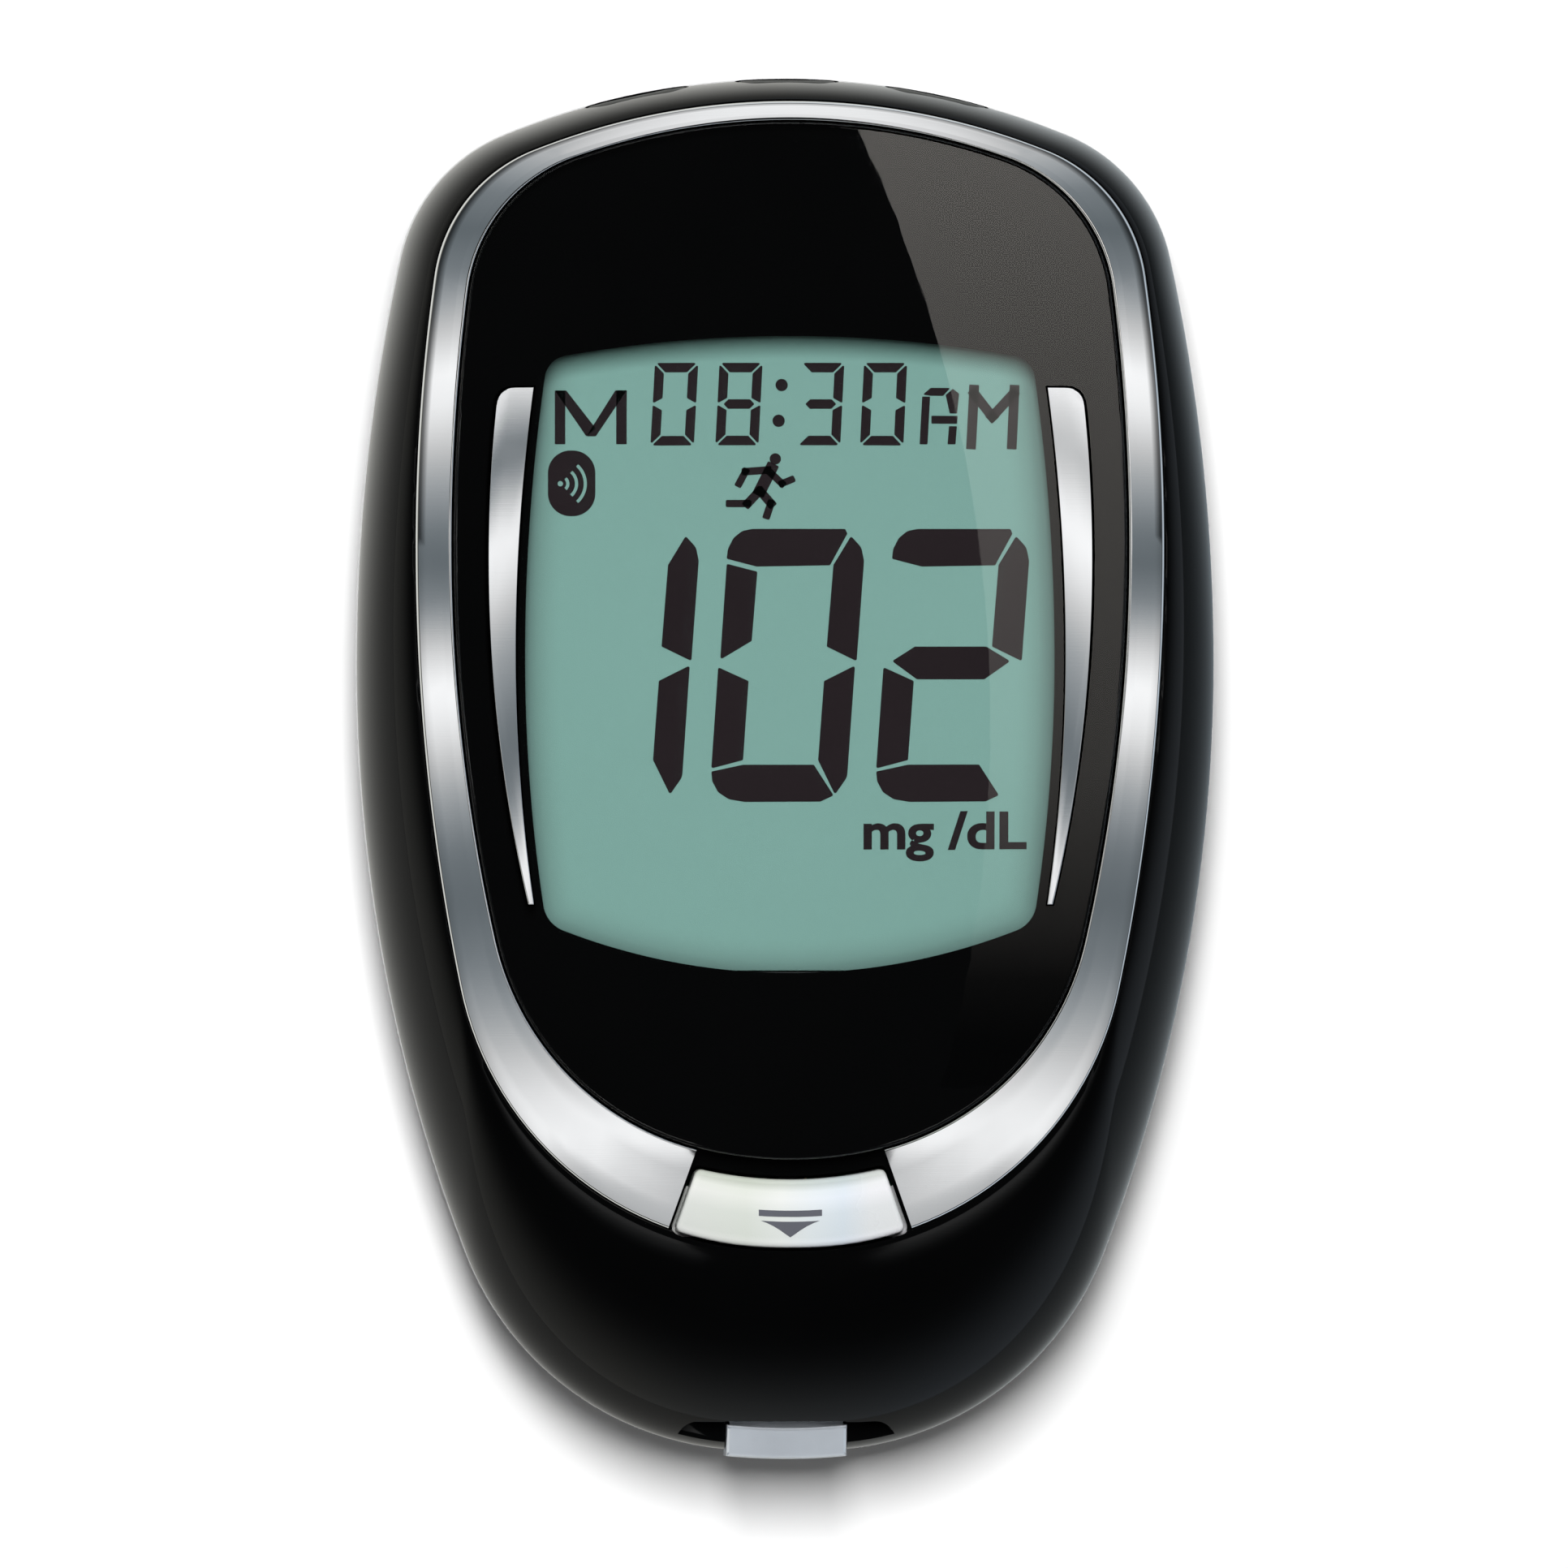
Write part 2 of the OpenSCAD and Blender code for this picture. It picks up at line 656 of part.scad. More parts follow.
// The middles of the larger parts on the board
chip_place = [-chip_x, window_top - chip_drop];
radio_place = [radio_gap + radio_w / 2 - holder_in_x, window_top - radio_drop];
buzzer_place = [holder_in_x - buzzer_gap - buzzer_d / 2, window_top - buzzer_drop];
fuse_place = [fuse_x, window_top - fuse_drop];
crystal_place = [crystal_x, zebra_high_y + crystal_rise];

// The accent strips: an inner edge that follows the window, and an arc through the tip and the widest place
function accent_inner(y, grow) =
    let (flank = y > window_widest_y ? window_flank_r : window_tail_flank_r)
    window_half_w + accent_gap - grow - flank + sqrt(flank * flank - pow(y - window_widest_y, 2));
accent_reach = lens_half_w - accent_margin;
accent_bow = accent_reach - accent_inner(accent_bottom, 0) - accent_tip_w;
accent_r = (pow(accent_widest_y - accent_bottom, 2) + accent_bow * accent_bow) / (2 * accent_bow);
accent_z = lens_top_z - lens_rise * pow(accent_reach / lens_half_w, 2) + accent_stand;

// Centre of the arcs of one half, measured from the widest line: [crown y, shoulder centre, flank x]
function half_arcs(half_w, half) =
    let (
        crown = [0, half[0] - half[1]],
        flank = [half_w - half[3], 0],
        apart = norm(flank - crown),
        near = half[1] - half[2],
        far = half[3] - half[2],
        along = (apart * apart + near * near - far * far) / (2 * apart),
        aside = sqrt(max(near * near - along * along, 0)),
        way = (flank - crown) / apart
    )
    [crown.y, crown + along * way + aside * [way.y, -way.x], flank.x];

// Angle at the start of step i of a quarter that turns from the flank to the crown
function step_angle(i, flank_end, crown_start) =
    i <= flank_steps
        ? flank_end * i / flank_steps
        : i <= flank_steps + shoulder_steps
            ? flank_end + (crown_start - flank_end) * (i - flank_steps) / shoulder_steps
            : crown_start + (90 - crown_start) * (i - flank_steps - shoulder_steps) / crown_steps;

// Points of one quarter, grown outwards by grow
function quarter(half_w, half, grow) =
    let (
        arcs = half_arcs(half_w, half),
        shoulder = arcs[1],
        flank_end = atan2(shoulder.y, shoulder.x - arcs[2]),
        crown_start = atan2(shoulder.y - arcs[0], shoulder.x)
    )
    [for (i = [0 : quarter_steps])
        let (
            angle = step_angle(i, flank_end, crown_start),
            way = [cos(angle), sin(angle)]
        )
        i <= flank_steps
            ? [arcs[2], 0] + (half[3] + grow) * way
            : i <= flank_steps + shoulder_steps
                ? shoulder + (half[2] + grow) * way
                : [0, arcs[0]] + (half[1] + grow) * way];

// The whole outline as points, anticlockwise from the widest point at the right
function outline(line, grow = 0) =
    let (
        head = quarter(line[0], line[2], grow),
        tail = quarter(line[0], line[3], grow)
    )
    concat(
        [for (i = [0 : quarter_steps - 1]) [head[i].x, line[1] + head[i].y]],
        [for (i = [quarter_steps : -1 : 1]) [-head[i].x, line[1] + head[i].y]],
        [for (i = [0 : quarter_steps - 1]) [-tail[i].x, line[1] - tail[i].y]],
        [for (i = [quarter_steps : -1 : 1]) [tail[i].x, line[1] - tail[i].y]]
    );

// The outline lifted to height z
function ring_at(line, grow, z) = [for (p = outline(line, grow)) [p.x, p.y, z]];

// A ring part of the way from one outline to another
function ring_between(line_a, grow_a, line_b, grow_b, share, z) =
    let (
        a = outline(line_a, grow_a),
        b = outline(line_b, grow_b)
    )
    [for (i = [0 : len(a) - 1]) concat(a[i] * (1 - share) + b[i] * share, z)];

// Rings of the domed wall from the parting line to the face, set in by inset, up to top_z
function dome_rings(inset, top_z) =
    [for (i = [0 : wall_steps])
        let (angle = rim_angle * i / wall_steps)
        ring_between(
            case_line, -inset, face_line, set_gap - inset,
            (1 - cos(angle)) / (1 - cos(rim_angle)),
            split_z + (top_z - split_z) * sin(angle) / sin(rim_angle)
        )];

// Rings of the bowl from the flat base, set in by inset, up to the parting line
function bowl_rings(inset, low_z) =
    [for (i = [wall_steps : -1 : 0])
        let (angle = 90 * i / wall_steps)
        ring_at(case_line, -inset - base_inset * (1 - cos(angle)), split_z - (split_z - low_z) * sin(angle))];

// Height of the case's crown line above the middle of the length at x, grown outwards by grow
function crown_y(x, grow) = top_y - case_crown_r + sqrt(pow(case_crown_r + grow, 2) - x * x);

top_screw_x = key_pitch + switch_w / 2 + switch_gap + boss_d / 2;
tail_screw_x = flange_w / 2 + boss_gap + boss_d / 2;
board_boss_d = board_screw_d + 2 * boss_wall;
board_screw_x = connector_w / 2 + board_boss_gap + board_boss_d / 2;
case_screw_places = [for (side = [-1, 1]) each [
    [side * top_screw_x, top_y - top_screw_drop],
    [side * tail_screw_x, pin_y + tail_screw_rise]]];
board_screw_places = [for (side = [-1, 1]) [side * board_screw_x, port_back_y + board_screw_rise]];
key_places = [-key_pitch, 0, key_pitch];

// Skins rings of equal length into one solid, capped at its first and last ring
module skin(rings) {
    n = len(rings[0]);
    last = (len(rings) - 1) * n;
    bands = [for (j = [0 : len(rings) - 2], i = [0 : n - 1])
        let (
            a = j * n + i,
            b = j * n + (i + 1) % n
        )
        each [[a, a + n, b + n], [a, b + n, b]]];
    caps = [[for (i = [0 : n - 1]) i], [for (i = [n - 1 : -1 : 0]) last + i]];
    polyhedron([for (ring = rings) each ring], concat(bands, caps));
}

// Skins rings into a closed loop, like a tyre
module loop_skin(rings) {
    n = len(rings[0]);
    total = len(rings) * n;
    bands = [for (j = [0 : len(rings) - 1], i = [0 : n - 1])
        let (
            a = j * n + i,
            b = j * n + (i + 1) % n
        )
        each [[a, (a + n) % total, (b + n) % total], [a, (b + n) % total, b]]];
    polyhedron([for (ring = rings) each ring], bands);
}

// A plate of an outline's shape between two heights
module plate(line, grow, low_z, high_z) {
    translate([0, 0, low_z])
        linear_extrude(high_z - low_z)
            polygon(outline(line, grow));
}

// A box from its low corner to its high corner
module block(low, high) {
    translate(low)
        cube(high - low);
}

// An upright rod between two heights
module rod(place, d, low_z, high_z) {
    translate([place.x, place.y, low_z])
        cylinder(d = d, h = high_z - low_z);
}

// A rounded rectangle between two heights
module rounded_block(low, high, r, low_z, high_z) {
    block([low.x + r, low.y, low_z], [high.x - r, high.y, high_z]);
    block([low.x, low.y + r, low_z], [high.x, high.y - r, high_z]);
    for (x = [low.x + r, high.x - r], y = [low.y + r, high.y - r])
        rod([x, y], 2 * r, low_z, high_z);
}

// The wedge between the two ring cuts, its sides moved in by inset
module fan(inset, low_z, high_z) {
    apex_y = fan_y - inset / sin(fan_angle);
    reach = past * sin(fan_angle);
    low_y = apex_y - past * cos(fan_angle);
    translate([0, 0, low_z])
        linear_extrude(high_z - low_z)
            polygon([[0, apex_y], [-reach, low_y], [reach, low_y]]);
}

// The button's sector between the lens and the rim, grown all round by grow
module button_sector(grow, low_z, high_z) {
    intersection() {
        plate(face_line, grow, low_z, high_z);
        fan(button_side_gap - grow, low_z, high_z);
        difference() {
            block([-past, -past, low_z], [past, 0, high_z]);
            plate(lens_line, button_recess - grow, low_z - over, high_z + over);
        }
    }
}

// A key's rounded bar along Y at x, grown all round by grow
module key_bar(x, grow, low_y, high_y) {
    half_flat = (key_w - key_h) / 2;
    for (end = [-half_flat, half_flat])
        translate([x + end, high_y, key_z])
            rotate([90, 0, 0])
                cylinder(d = key_h + 2 * grow, h = high_y - low_y);
    block(
        [x - half_flat, low_y, key_z - key_h / 2 - grow],
        [x + half_flat, high_y, key_z + key_h / 2 + grow]
    );
}

// Outline of the left or right accent strip, grown all round by grow
function accent_points(side, grow) =
    let (
        centre = [accent_reach - accent_r, accent_widest_y],
        low = accent_bottom - grow,
        high = accent_top + grow,
        shoulder_y = high - accent_corner_r,
        edge = function (y) centre.x + sqrt(pow(accent_r + grow, 2) - pow(y - centre.y, 2)),
        pivot_x = edge(shoulder_y) - accent_corner_r
    )
    concat(
        [for (i = [0 : accent_steps])
            let (y = low + (shoulder_y - low) * i / accent_steps)
            [side * edge(y), y]],
        [for (i = [1 : corner_steps])
            let (angle = 90 * i / corner_steps)
            [side * (pivot_x + accent_corner_r * cos(angle)), shoulder_y + accent_corner_r * sin(angle)]],
        [for (i = [0 : accent_steps])
            let (y = high + (low - high) * i / accent_steps)
            [side * accent_inner(y, grow), y]]
    );

module accent_plate(side, grow, low_z, high_z) {
    translate([0, 0, low_z])
        linear_extrude(high_z - low_z)
            polygon(accent_points(side, grow));
}

// The part of the port nose that shows, grown all round by grow
module nose_front(grow, reach, low_z, high_z) {
    intersection() {
        block([-nose_w / 2 - grow, tip_y - over, low_z], [nose_w / 2 + grow, port_back_y, high_z]);
        difference() {
            plate(case_line, reach, low_z, high_z);
            plate(case_line, -nose_show - grow, low_z - over, high_z + over);
        }
    }
}

// The stem that carries the nose through the case wall, grown all round by grow
module nose_stem(grow, high_z) {
    block([-nose_w / 2 - grow, tail_y, nose_bottom_z - grow], [nose_w / 2 + grow, port_back_y, high_z]);
}

module back_cover() {
    color("#15171a")
    difference() {
        union() {
            skin(concat(
                bowl_rings(0, 0),
                [
                    ring_at(case_line, tongue_t - wall, split_z),
                    ring_at(case_line, tongue_t - wall, split_z + tongue_h),
                    ring_at(case_line, -wall, split_z + tongue_h)
                ],
                [for (i = [wall_steps : -1 : 0]) bowl_rings(wall, floor_t)[i]]
            ));
            block(
                [-door_half_x - bay_wall, door_low_y - bay_wall, floor_t / 2],
                [door_half_x + bay_wall, hinge_y + bay_wall, ledge_top_z]
            );
            block(
                [-bay_half_x - bay_wall, bay_y - bay_half_y - bay_wall, floor_t],
                [bay_half_x + bay_wall, bay_y + bay_half_y + bay_wall, bay_roof_z + bay_roof_t]
            );
            for (place = case_screw_places)
                rod(place, boss_d, floor_t / 2, board_z - seat);
        }
        block([-bay_half_x, bay_y - bay_half_y, -over], [bay_half_x, bay_y + bay_half_y, bay_roof_z]);
        rounded_block(
            [-door_half_x, door_low_y], [door_half_x, hinge_y],
            door_corner_r, -over, ledge_z
        );
        for (side = [-1, 1])
            block(
                [side * tab_x - tab_w / 2 - run_gap, bay_y + bay_half_y - over, tab_slot_z],
                [side * tab_x + tab_w / 2 + run_gap, hinge_y + bay_wall + over, tab_slot_top_z]
            );
        for (side = [-1, 1])
            block(
                [-tail_gap, bay_y + side * cell_shift - tail_gap, bay_roof_z - over],
                [tail_gap, bay_y + side * cell_shift + tail_gap, bay_roof_z + bay_roof_t + over]
            );
        block(
            [-bay_half_x, bay_y - tail_gap, bay_roof_z - over],
            [-bay_half_x + 2 * leaf_t + run_gap, bay_y + tail_gap, bay_roof_z + bay_roof_t + over]
        );
        for (place = case_screw_places) {
            rod(place, screw_head_d + 2 * run_gap, -over, screw_sink + screw_head_h);
            rod(place, screw_d + 2 * run_gap, 0, board_z);
        }
        rounded_block(
            [-recess_w / 2, door_low_y - recess_length], [recess_w / 2, door_low_y + over],
            recess_r, -over, recess_depth
        );
        rounded_block(
            [-label_w / 2 - set_gap, label_y - label_length / 2 - set_gap],
            [label_w / 2 + set_gap, label_y + label_length / 2 + set_gap],
            label_r, -over, label_t + seat
        );
        nose_front(set_gap, over, nose_bottom_z - set_gap, split_z + past);
        nose_stem(set_gap, split_z + past);
    }
}

module front_cover() {
    color("#101214")
    difference() {
        union() {
            skin(concat(
                [for (i = [wall_steps : -1 : 2]) dome_rings(wall, deck_under_z)[i]],
                [
                    ring_at(case_line, -wall, split_z + tongue_h + set_gap),
                    ring_at(case_line, tongue_t - wall + set_gap, split_z + tongue_h + set_gap),
                    ring_at(case_line, tongue_t - wall + set_gap, split_z + seat)
                ],
                [ring_at(case_line, 0, split_z + seat)],
                [for (i = [1 : wall_steps]) dome_rings(0, rim_z)[i]],
                [ring_at(face_line, set_gap, pocket_z)]
            ));
            for (place = case_screw_places)
                rod(place, boss_d, board_top_z + seat, deck_under_z + deck_t / 2);
            for (place = board_screw_places)
                rod(place, board_boss_d, board_top_z + seat, deck_under_z - wall / 3);
        }
        plate(window_line, window_relief, deck_under_z - over, pocket_z + over);
        button_sector(run_gap, deck_under_z - 2 * over, rim_z + over);
        for (place = case_screw_places)
            rod(place, screw_d + 2 * thread_gap, split_z - over, board_top_z + screw_grip + over);
        for (place = board_screw_places)
            rod(place, board_screw_d + 2 * thread_gap, split_z - over, board_top_z + board_screw_grip + over);
        for (x = key_places)
            key_bar(x, run_gap, crown_y(x, -wall) - 2 * over, top_y + over);
        nose_front(set_gap, over, nose_bottom_z, rim_z + over);
        nose_stem(set_gap, connector_top_z + set_gap);
        rounded_block(
            [-scoop_w / 2, tip_y - 2 * over - scoop_r], [scoop_w / 2, tail_y + scoop_length],
            scoop_r, scoop_z, rim_z
        );
    }
}

module trim_ring() {
    color("#c9ccd0")
    difference() {
        loop_skin([
            ring_at(face_line, 0, pocket_z),
            ring_at(face_line, 0, ring_outer_z - ring_bevel),
            ring_at(face_line, -ring_bevel, ring_outer_z),
            ring_at(lens_line, ring_bevel, ring_inner_z),
            ring_at(lens_line, 0, ring_inner_z - ring_bevel),
            ring_at(lens_line, 0, pocket_z)
        ]);
        fan(0, pocket_z - over, ring_inner_z + over);
    }
}

// The lens dome: the outline shrinks to its middle while the height follows a parabola
function lens_ring(share) =
    [for (p = outline(lens_line, -set_gap - lens_bevel))
        [p.x * share, face_widest_y + (p.y - face_widest_y) * share, lens_top_z - lens_rise * share * share]];

module display_lens() {
    color("#20242a", 0.4)
    difference() {
        skin(concat(
            [
                ring_at(lens_line, -set_gap, lens_bottom_z),
                ring_at(lens_line, -set_gap, lens_edge_z - lens_bevel)
            ],
            [for (i = [lens_steps : -1 : 1]) lens_ring(i / lens_steps)]
        ));
        for (side = [-1, 1])
            accent_plate(side, set_gap, lens_bottom_z - over, lens_top_z + over);
    }
}

module lens_mask() {
    color("black")
    difference() {
        plate(lens_line, -set_gap, pocket_z, pocket_z + mask_t);
        plate(window_line, 0, pocket_z - over, lens_bottom_z + over);
    }
}

module accent_strip(side) {
    color("#d5d8dc")
        accent_plate(side, 0, lens_bottom_z, accent_z);
}

module strip_release_button() {
    cap_tilt = atan(ring_rise / ring_tail_w);
    color("#e6e9ea")
    difference() {
        union() {
            intersection() {
                button_sector(0, flange_under_z, ring_inner_z + over);
                translate([0, face_tail_y, ring_outer_z + button_stand])
                    rotate([cap_tilt, 0, 0])
                        block([-past, -past, -past], [past, past, 0]);
            }
            intersection() {
                block(
                    [-flange_w / 2, face_tail_y - past, flange_under_z],
                    [flange_w / 2, flange_high_y, flange_top_z]
                );
                plate(face_line, flange_lip, flange_under_z - over, flange_top_z + over);
            }
            for (side = [-1, 1]) {
                mirror([min(side, 0), 0, 0])
                    block(
                        [prong_x, pin_y - prong_half, pin_z - prong_half],
                        [prong_x + prong_t, pin_y + prong_half, flange_top_z]
                    );
                rod([side * spring_x, pin_y], spring_d - 2 * spring_wire - 2 * run_gap,
                    flange_under_z - stud_h, flange_top_z);
            }
            cross_pin(pin_d, prong_x + prong_t, [0, 0]);
        }
        difference() {
            block(
                [-prong_x, web_low_y - pin_eject - run_gap, pin_z - past],
                [prong_x, web_high_y + run_gap, web_top_z + button_travel + run_gap]
            );
            cross_pin(pin_d, prong_x + over, [0, 0]);
        }
    }
}

// The pin that couples the button and the ejector, or its bore, moved by shift in Y and Z
module cross_pin(d, half_l, shift) {
    translate([-half_l, pin_y + shift[0], pin_z + shift[1]])
        rotate([0, 90, 0])
            cylinder(d = d, h = 2 * half_l);
}

// A coil of round wire with its ends on the heights low_z and high_z
module coil(place, d, wire, turns, low_z, high_z) {
    sides = 6;
    per_turn = 12;
    steps = turns * per_turn;
    path_r = (d - wire) / 2;
    climb = high_z - low_z - wire;
    rings = [for (i = [0 : steps])
        let (
            turn = 360 * i / per_turn,
            z = low_z + wire / 2 + climb * i / steps
        )
        [for (k = [0 : sides - 1])
            let (
                angle = -360 * k / sides,
                r = path_r + wire / 2 * cos(angle)
            )
            [place.x + r * cos(turn), place.y + r * sin(turn), z + wire / 2 * sin(angle)]]];
    skin([for (i = [steps : -1 : 0]) rings[i]]);
}

module button_springs() {
    color("#b9bcc0")
        for (side = [-1, 1])
            coil(
                [side * spring_x, pin_y], spring_d, spring_wire, spring_turns,
                board_top_z + seat, flange_under_z - seat
            );
}

module ejector_slider() {
    window_x = prong_x + prong_t + run_gap;
    window_low_y = pin_y - prong_half - 2 * run_gap;
    color("#dfe2e4")
    difference() {
        union() {
            block(
                [-ejector_w / 2, ejector_low_y, ejector_z],
                [ejector_w / 2, finger_y + finger_t, ejector_z + ejector_t]
            );
            block([-web_t / 2, web_low_y, ejector_z], [web_t / 2, web_high_y, web_top_z]);
            block(
                [-finger_w / 2, finger_y, strip_z - contact_t - seat],
                [finger_w / 2, finger_y + finger_t, ejector_z + ejector_t]
            );
        }
        for (side = [-1, 1])
            mirror([min(side, 0), 0, 0])
                block(
                    [web_t / 2, window_low_y, ejector_z - over],
                    [window_x, web_high_y + over, ejector_z + ejector_t + over]
                );
        cross_pin(pin_slot_d, web_t, [0, 0]);
        cross_pin(pin_slot_d, web_t, [pin_eject, -button_travel]);
        translate([0, pin_y, pin_z])
            rotate([-atan(button_travel / pin_eject), 0, 0])
                block(
                    [-web_t, 0, -pin_slot_d / 2],
                    [web_t, norm([pin_eject, button_travel]), pin_slot_d / 2]
                );
    }
}

module strip_port() {
    color("#b4bac2")
    difference() {
        union() {
            intersection() {
                nose_front(0, nose_reach, nose_bottom_z, nose_top_z);
                translate([0, tail_y + nose_show, nose_top_z])
                    rotate([atan((nose_top_z - nose_tip_z) / (nose_show + nose_reach)), 0, 0])
                        block([-past, -past, -past], [past, past, 0]);
            }
            nose_stem(0, connector_top_z);
            block(
                [-connector_w / 2, port_back_y - port_flange_t, board_top_z + seat],
                [connector_w / 2, port_back_y, strip_z + slot_h + mouth_flare]
            );
        }
        block(
            [-strip_w / 2 - run_gap, tip_y - over, strip_z - seat],
            [strip_w / 2 + run_gap, port_back_y + over, strip_z + slot_h]
        );
        block(
            [-strip_w / 2 - mouth_flare, tip_y - over, strip_z - mouth_flare],
            [strip_w / 2 + mouth_flare, tip_y + mouth_depth, strip_z + slot_h + mouth_flare]
        );
    }
}

module strip_connector() {
    channel_x = strip_w / 2 + run_gap;
    rail_x = ejector_w / 2 + run_gap;
    rail_top_z = ejector_z + ejector_t + run_gap / 2;
    color("#1b1d20")
    difference() {
        union() {
            block(
                [-connector_w / 2, connector_front_y, board_top_z + seat],
                [connector_w / 2, connector_back_y, connector_top_z]
            );
            for (side = [-1, 1])
                mirror([min(side, 0), 0, 0]) {
                    block([rail_x, rail_low_y, strip_z], [rail_x + rail_t, connector_back_y, rail_top_z]);
                    block(
                        [rail_x, rail_low_y, strip_z],
                        [rail_x + rail_t, rail_low_y + lip_l, rail_top_z + lip_t]
                    );
                    block(
                        [rail_x - lip_w, rail_low_y, rail_top_z],
                        [rail_x + rail_t, rail_low_y + lip_l, rail_top_z + lip_t]
                    );
                }
        }
        block(
            [-channel_x, connector_front_y - over, board_top_z - over],
            [channel_x, connector_back_y + over, strip_z + slot_h]
        );
        block(
            [-finger_w / 2 - run_gap, finger_y - pin_eject - run_gap, board_top_z],
            [finger_w / 2 + run_gap, connector_back_y + over, connector_top_z + over]
        );
    }
}

// Underside of one contact leaf from its foot to its free tip: [y, height over the board]
function contact_line() =
    let (
        foot = connector_back_y + finger_t,
        rise = foot - contact_foot,
        bump = rise - contact_rise,
        bump_z = strip_lift - contact_t - 2 * seat
    )
    [[foot, 0], [rise, 0], [bump, bump_z], [bump - contact_bump, bump_z],
        [bump - contact_bump - contact_rise / 2, bump_z / 2]];

module strip_contacts() {
    low = contact_line();
    last = len(low) - 1;
    color("#d8b45a")
        for (i = [0 : contact_count - 1])
            translate([(i - (contact_count - 1) / 2) * contact_pitch + contact_w / 2, 0, board_top_z + seat])
                rotate([90, 0, -90])
                    linear_extrude(contact_w)
                        polygon([
                            for (p = low) [-p[0], p[1]],
                            for (j = [last : -1 : 0]) [-low[j][0], low[j][1] + contact_t]
                        ]);
}

module lcd_front_glass() {
    color("#7ea69d")
        block([-glass_x, glass_low_y, rear_glass_z], [glass_x, glass_high_y, glass_z]);
}

module lcd_rear_glass() {
    color("#86aaa2")
        block([-glass_x, rear_low_y, reflector_z], [glass_x, glass_high_y, rear_glass_z]);
}

module lcd_reflector() {
    color("#d9ddd6")
        block([-glass_x, rear_low_y, plate_z], [glass_x, glass_high_y, reflector_z]);
}

module lcd_holder() {
    outer_x = glass_x + set_gap + holder_wall;
    outer_low_y = glass_low_y - set_gap - holder_wall;
    outer_high_y = glass_high_y + set_gap + holder_wall;
    color("#e9ebe6")
    difference() {
        block([-outer_x, outer_low_y, board_top_z + seat], [outer_x, outer_high_y, glass_z - seat]);
        block(
            [-glass_x - set_gap, glass_low_y - set_gap, plate_z],
            [glass_x + set_gap, glass_high_y + set_gap, glass_z + over]
        );
        block(
            [-holder_in_x, zebra_high_y + holder_wall, board_top_z - over],
            [holder_in_x, glass_high_y - holder_wall, plate_z - holder_plate_t]
        );
        block(
            [-zebra_half_l - set_gap, glass_low_y, board_top_z - over],
            [zebra_half_l + set_gap, rear_low_y - set_gap / 2, plate_z + over]
        );
    }
}

module lcd_gasket() {
    color("#2a2c2e")
    difference() {
        block([-glass_x, glass_low_y, glass_z], [glass_x, glass_high_y, deck_under_z]);
        plate(window_line, window_relief, glass_z - over, deck_under_z + over);
    }
}

module zebra_connector() {
    color("#c86f5a")
        block(
            [-zebra_half_l, zebra_low_y, board_top_z + seat],
            [zebra_half_l, zebra_high_y, rear_glass_z]
        );
}

module main_board() {
    color("#1f6b3c")
    difference() {
        plate(case_line, -wall - board_gap, board_z, board_top_z);
        for (place = case_screw_places)
            rod(place, screw_d + 2 * run_gap, board_z - over, board_top_z + over);
        for (place = board_screw_places)
            rod(place, board_screw_d + 2 * run_gap, board_z - over, board_top_z + over);
        block(
            [-connector_w / 2 - run_gap, tip_y - over, board_z - over],
            [connector_w / 2 + run_gap, port_back_y + run_gap, board_top_z + over]
        );
    }
}

// A box on the board, its middle at place
module on_board(place, width, length, height) {
    translate([place.x - width / 2, place.y - length / 2, board_top_z + seat])
        cube([width, length, height]);
}

// A small chip part on the board
module small_part(place, width, length) {
    on_board(place, width, length, small_h);
}

module processor_chip() {
    pin_count = floor(chip_w / pin_pitch) - 2;
    reach = chip_w + 2 * pin_l;
    color("#222428") {
        on_board(chip_place, chip_w, chip_w, chip_h);
        for (i = [0 : pin_count - 1]) {
            step = (i - (pin_count - 1) / 2) * pin_pitch;
            on_board([chip_place.x + step, chip_place.y], pin_w, reach, pin_h);
            on_board([chip_place.x, chip_place.y + step], reach, pin_w, pin_h);
        }
    }
}

module radio_module() {
    can_w = radio_w - 2 * radio_border;
    can_l = radio_length - antenna_length;
    color("#b8bcc2") {
        on_board(radio_place, radio_w, radio_length, radio_board_t);
        on_board([radio_place.x, radio_place.y - antenna_length / 2 + radio_border], can_w, can_l, radio_h);
    }
}

module board_components() {
    color("#8d7a5c") {
        for (step = [-1, 0, 1]) {
            small_part(fuse_place + [-small_pitch, (step + 1) * small_pitch], small_l, small_w);
            small_part(chip_place + [step * small_pitch, -chip_w], small_l, small_w);
        }
        for (side = [-1, 1], step = [-1, 1]) {
            small_part([side * (bay_half_x + small_pitch), step * small_pitch], small_w, small_l);
            small_part([(side + step / 2) * small_pitch, zebra_low_y - small_pitch * 2], small_l, small_w);
        }
        on_board(fuse_place, 2 * small_l, 2 * small_w, 1.5 * small_h);
        on_board(crystal_place, 2 * small_l, 3 * small_w, 2 * small_h);
        on_board([-2 * crystal_place.x, crystal_place.y], 2 * small_l, 3 * small_w, 1.5 * small_h);
    }
}

module buzzer() {
    low_z = board_top_z + seat;
    color("#2c2f33")
    difference() {
        rod(buzzer_place, buzzer_d, low_z, low_z + buzzer_h);
        rod(buzzer_place, buzzer_hole_d, low_z + buzzer_h / 2, low_z + buzzer_h + over);
    }
}

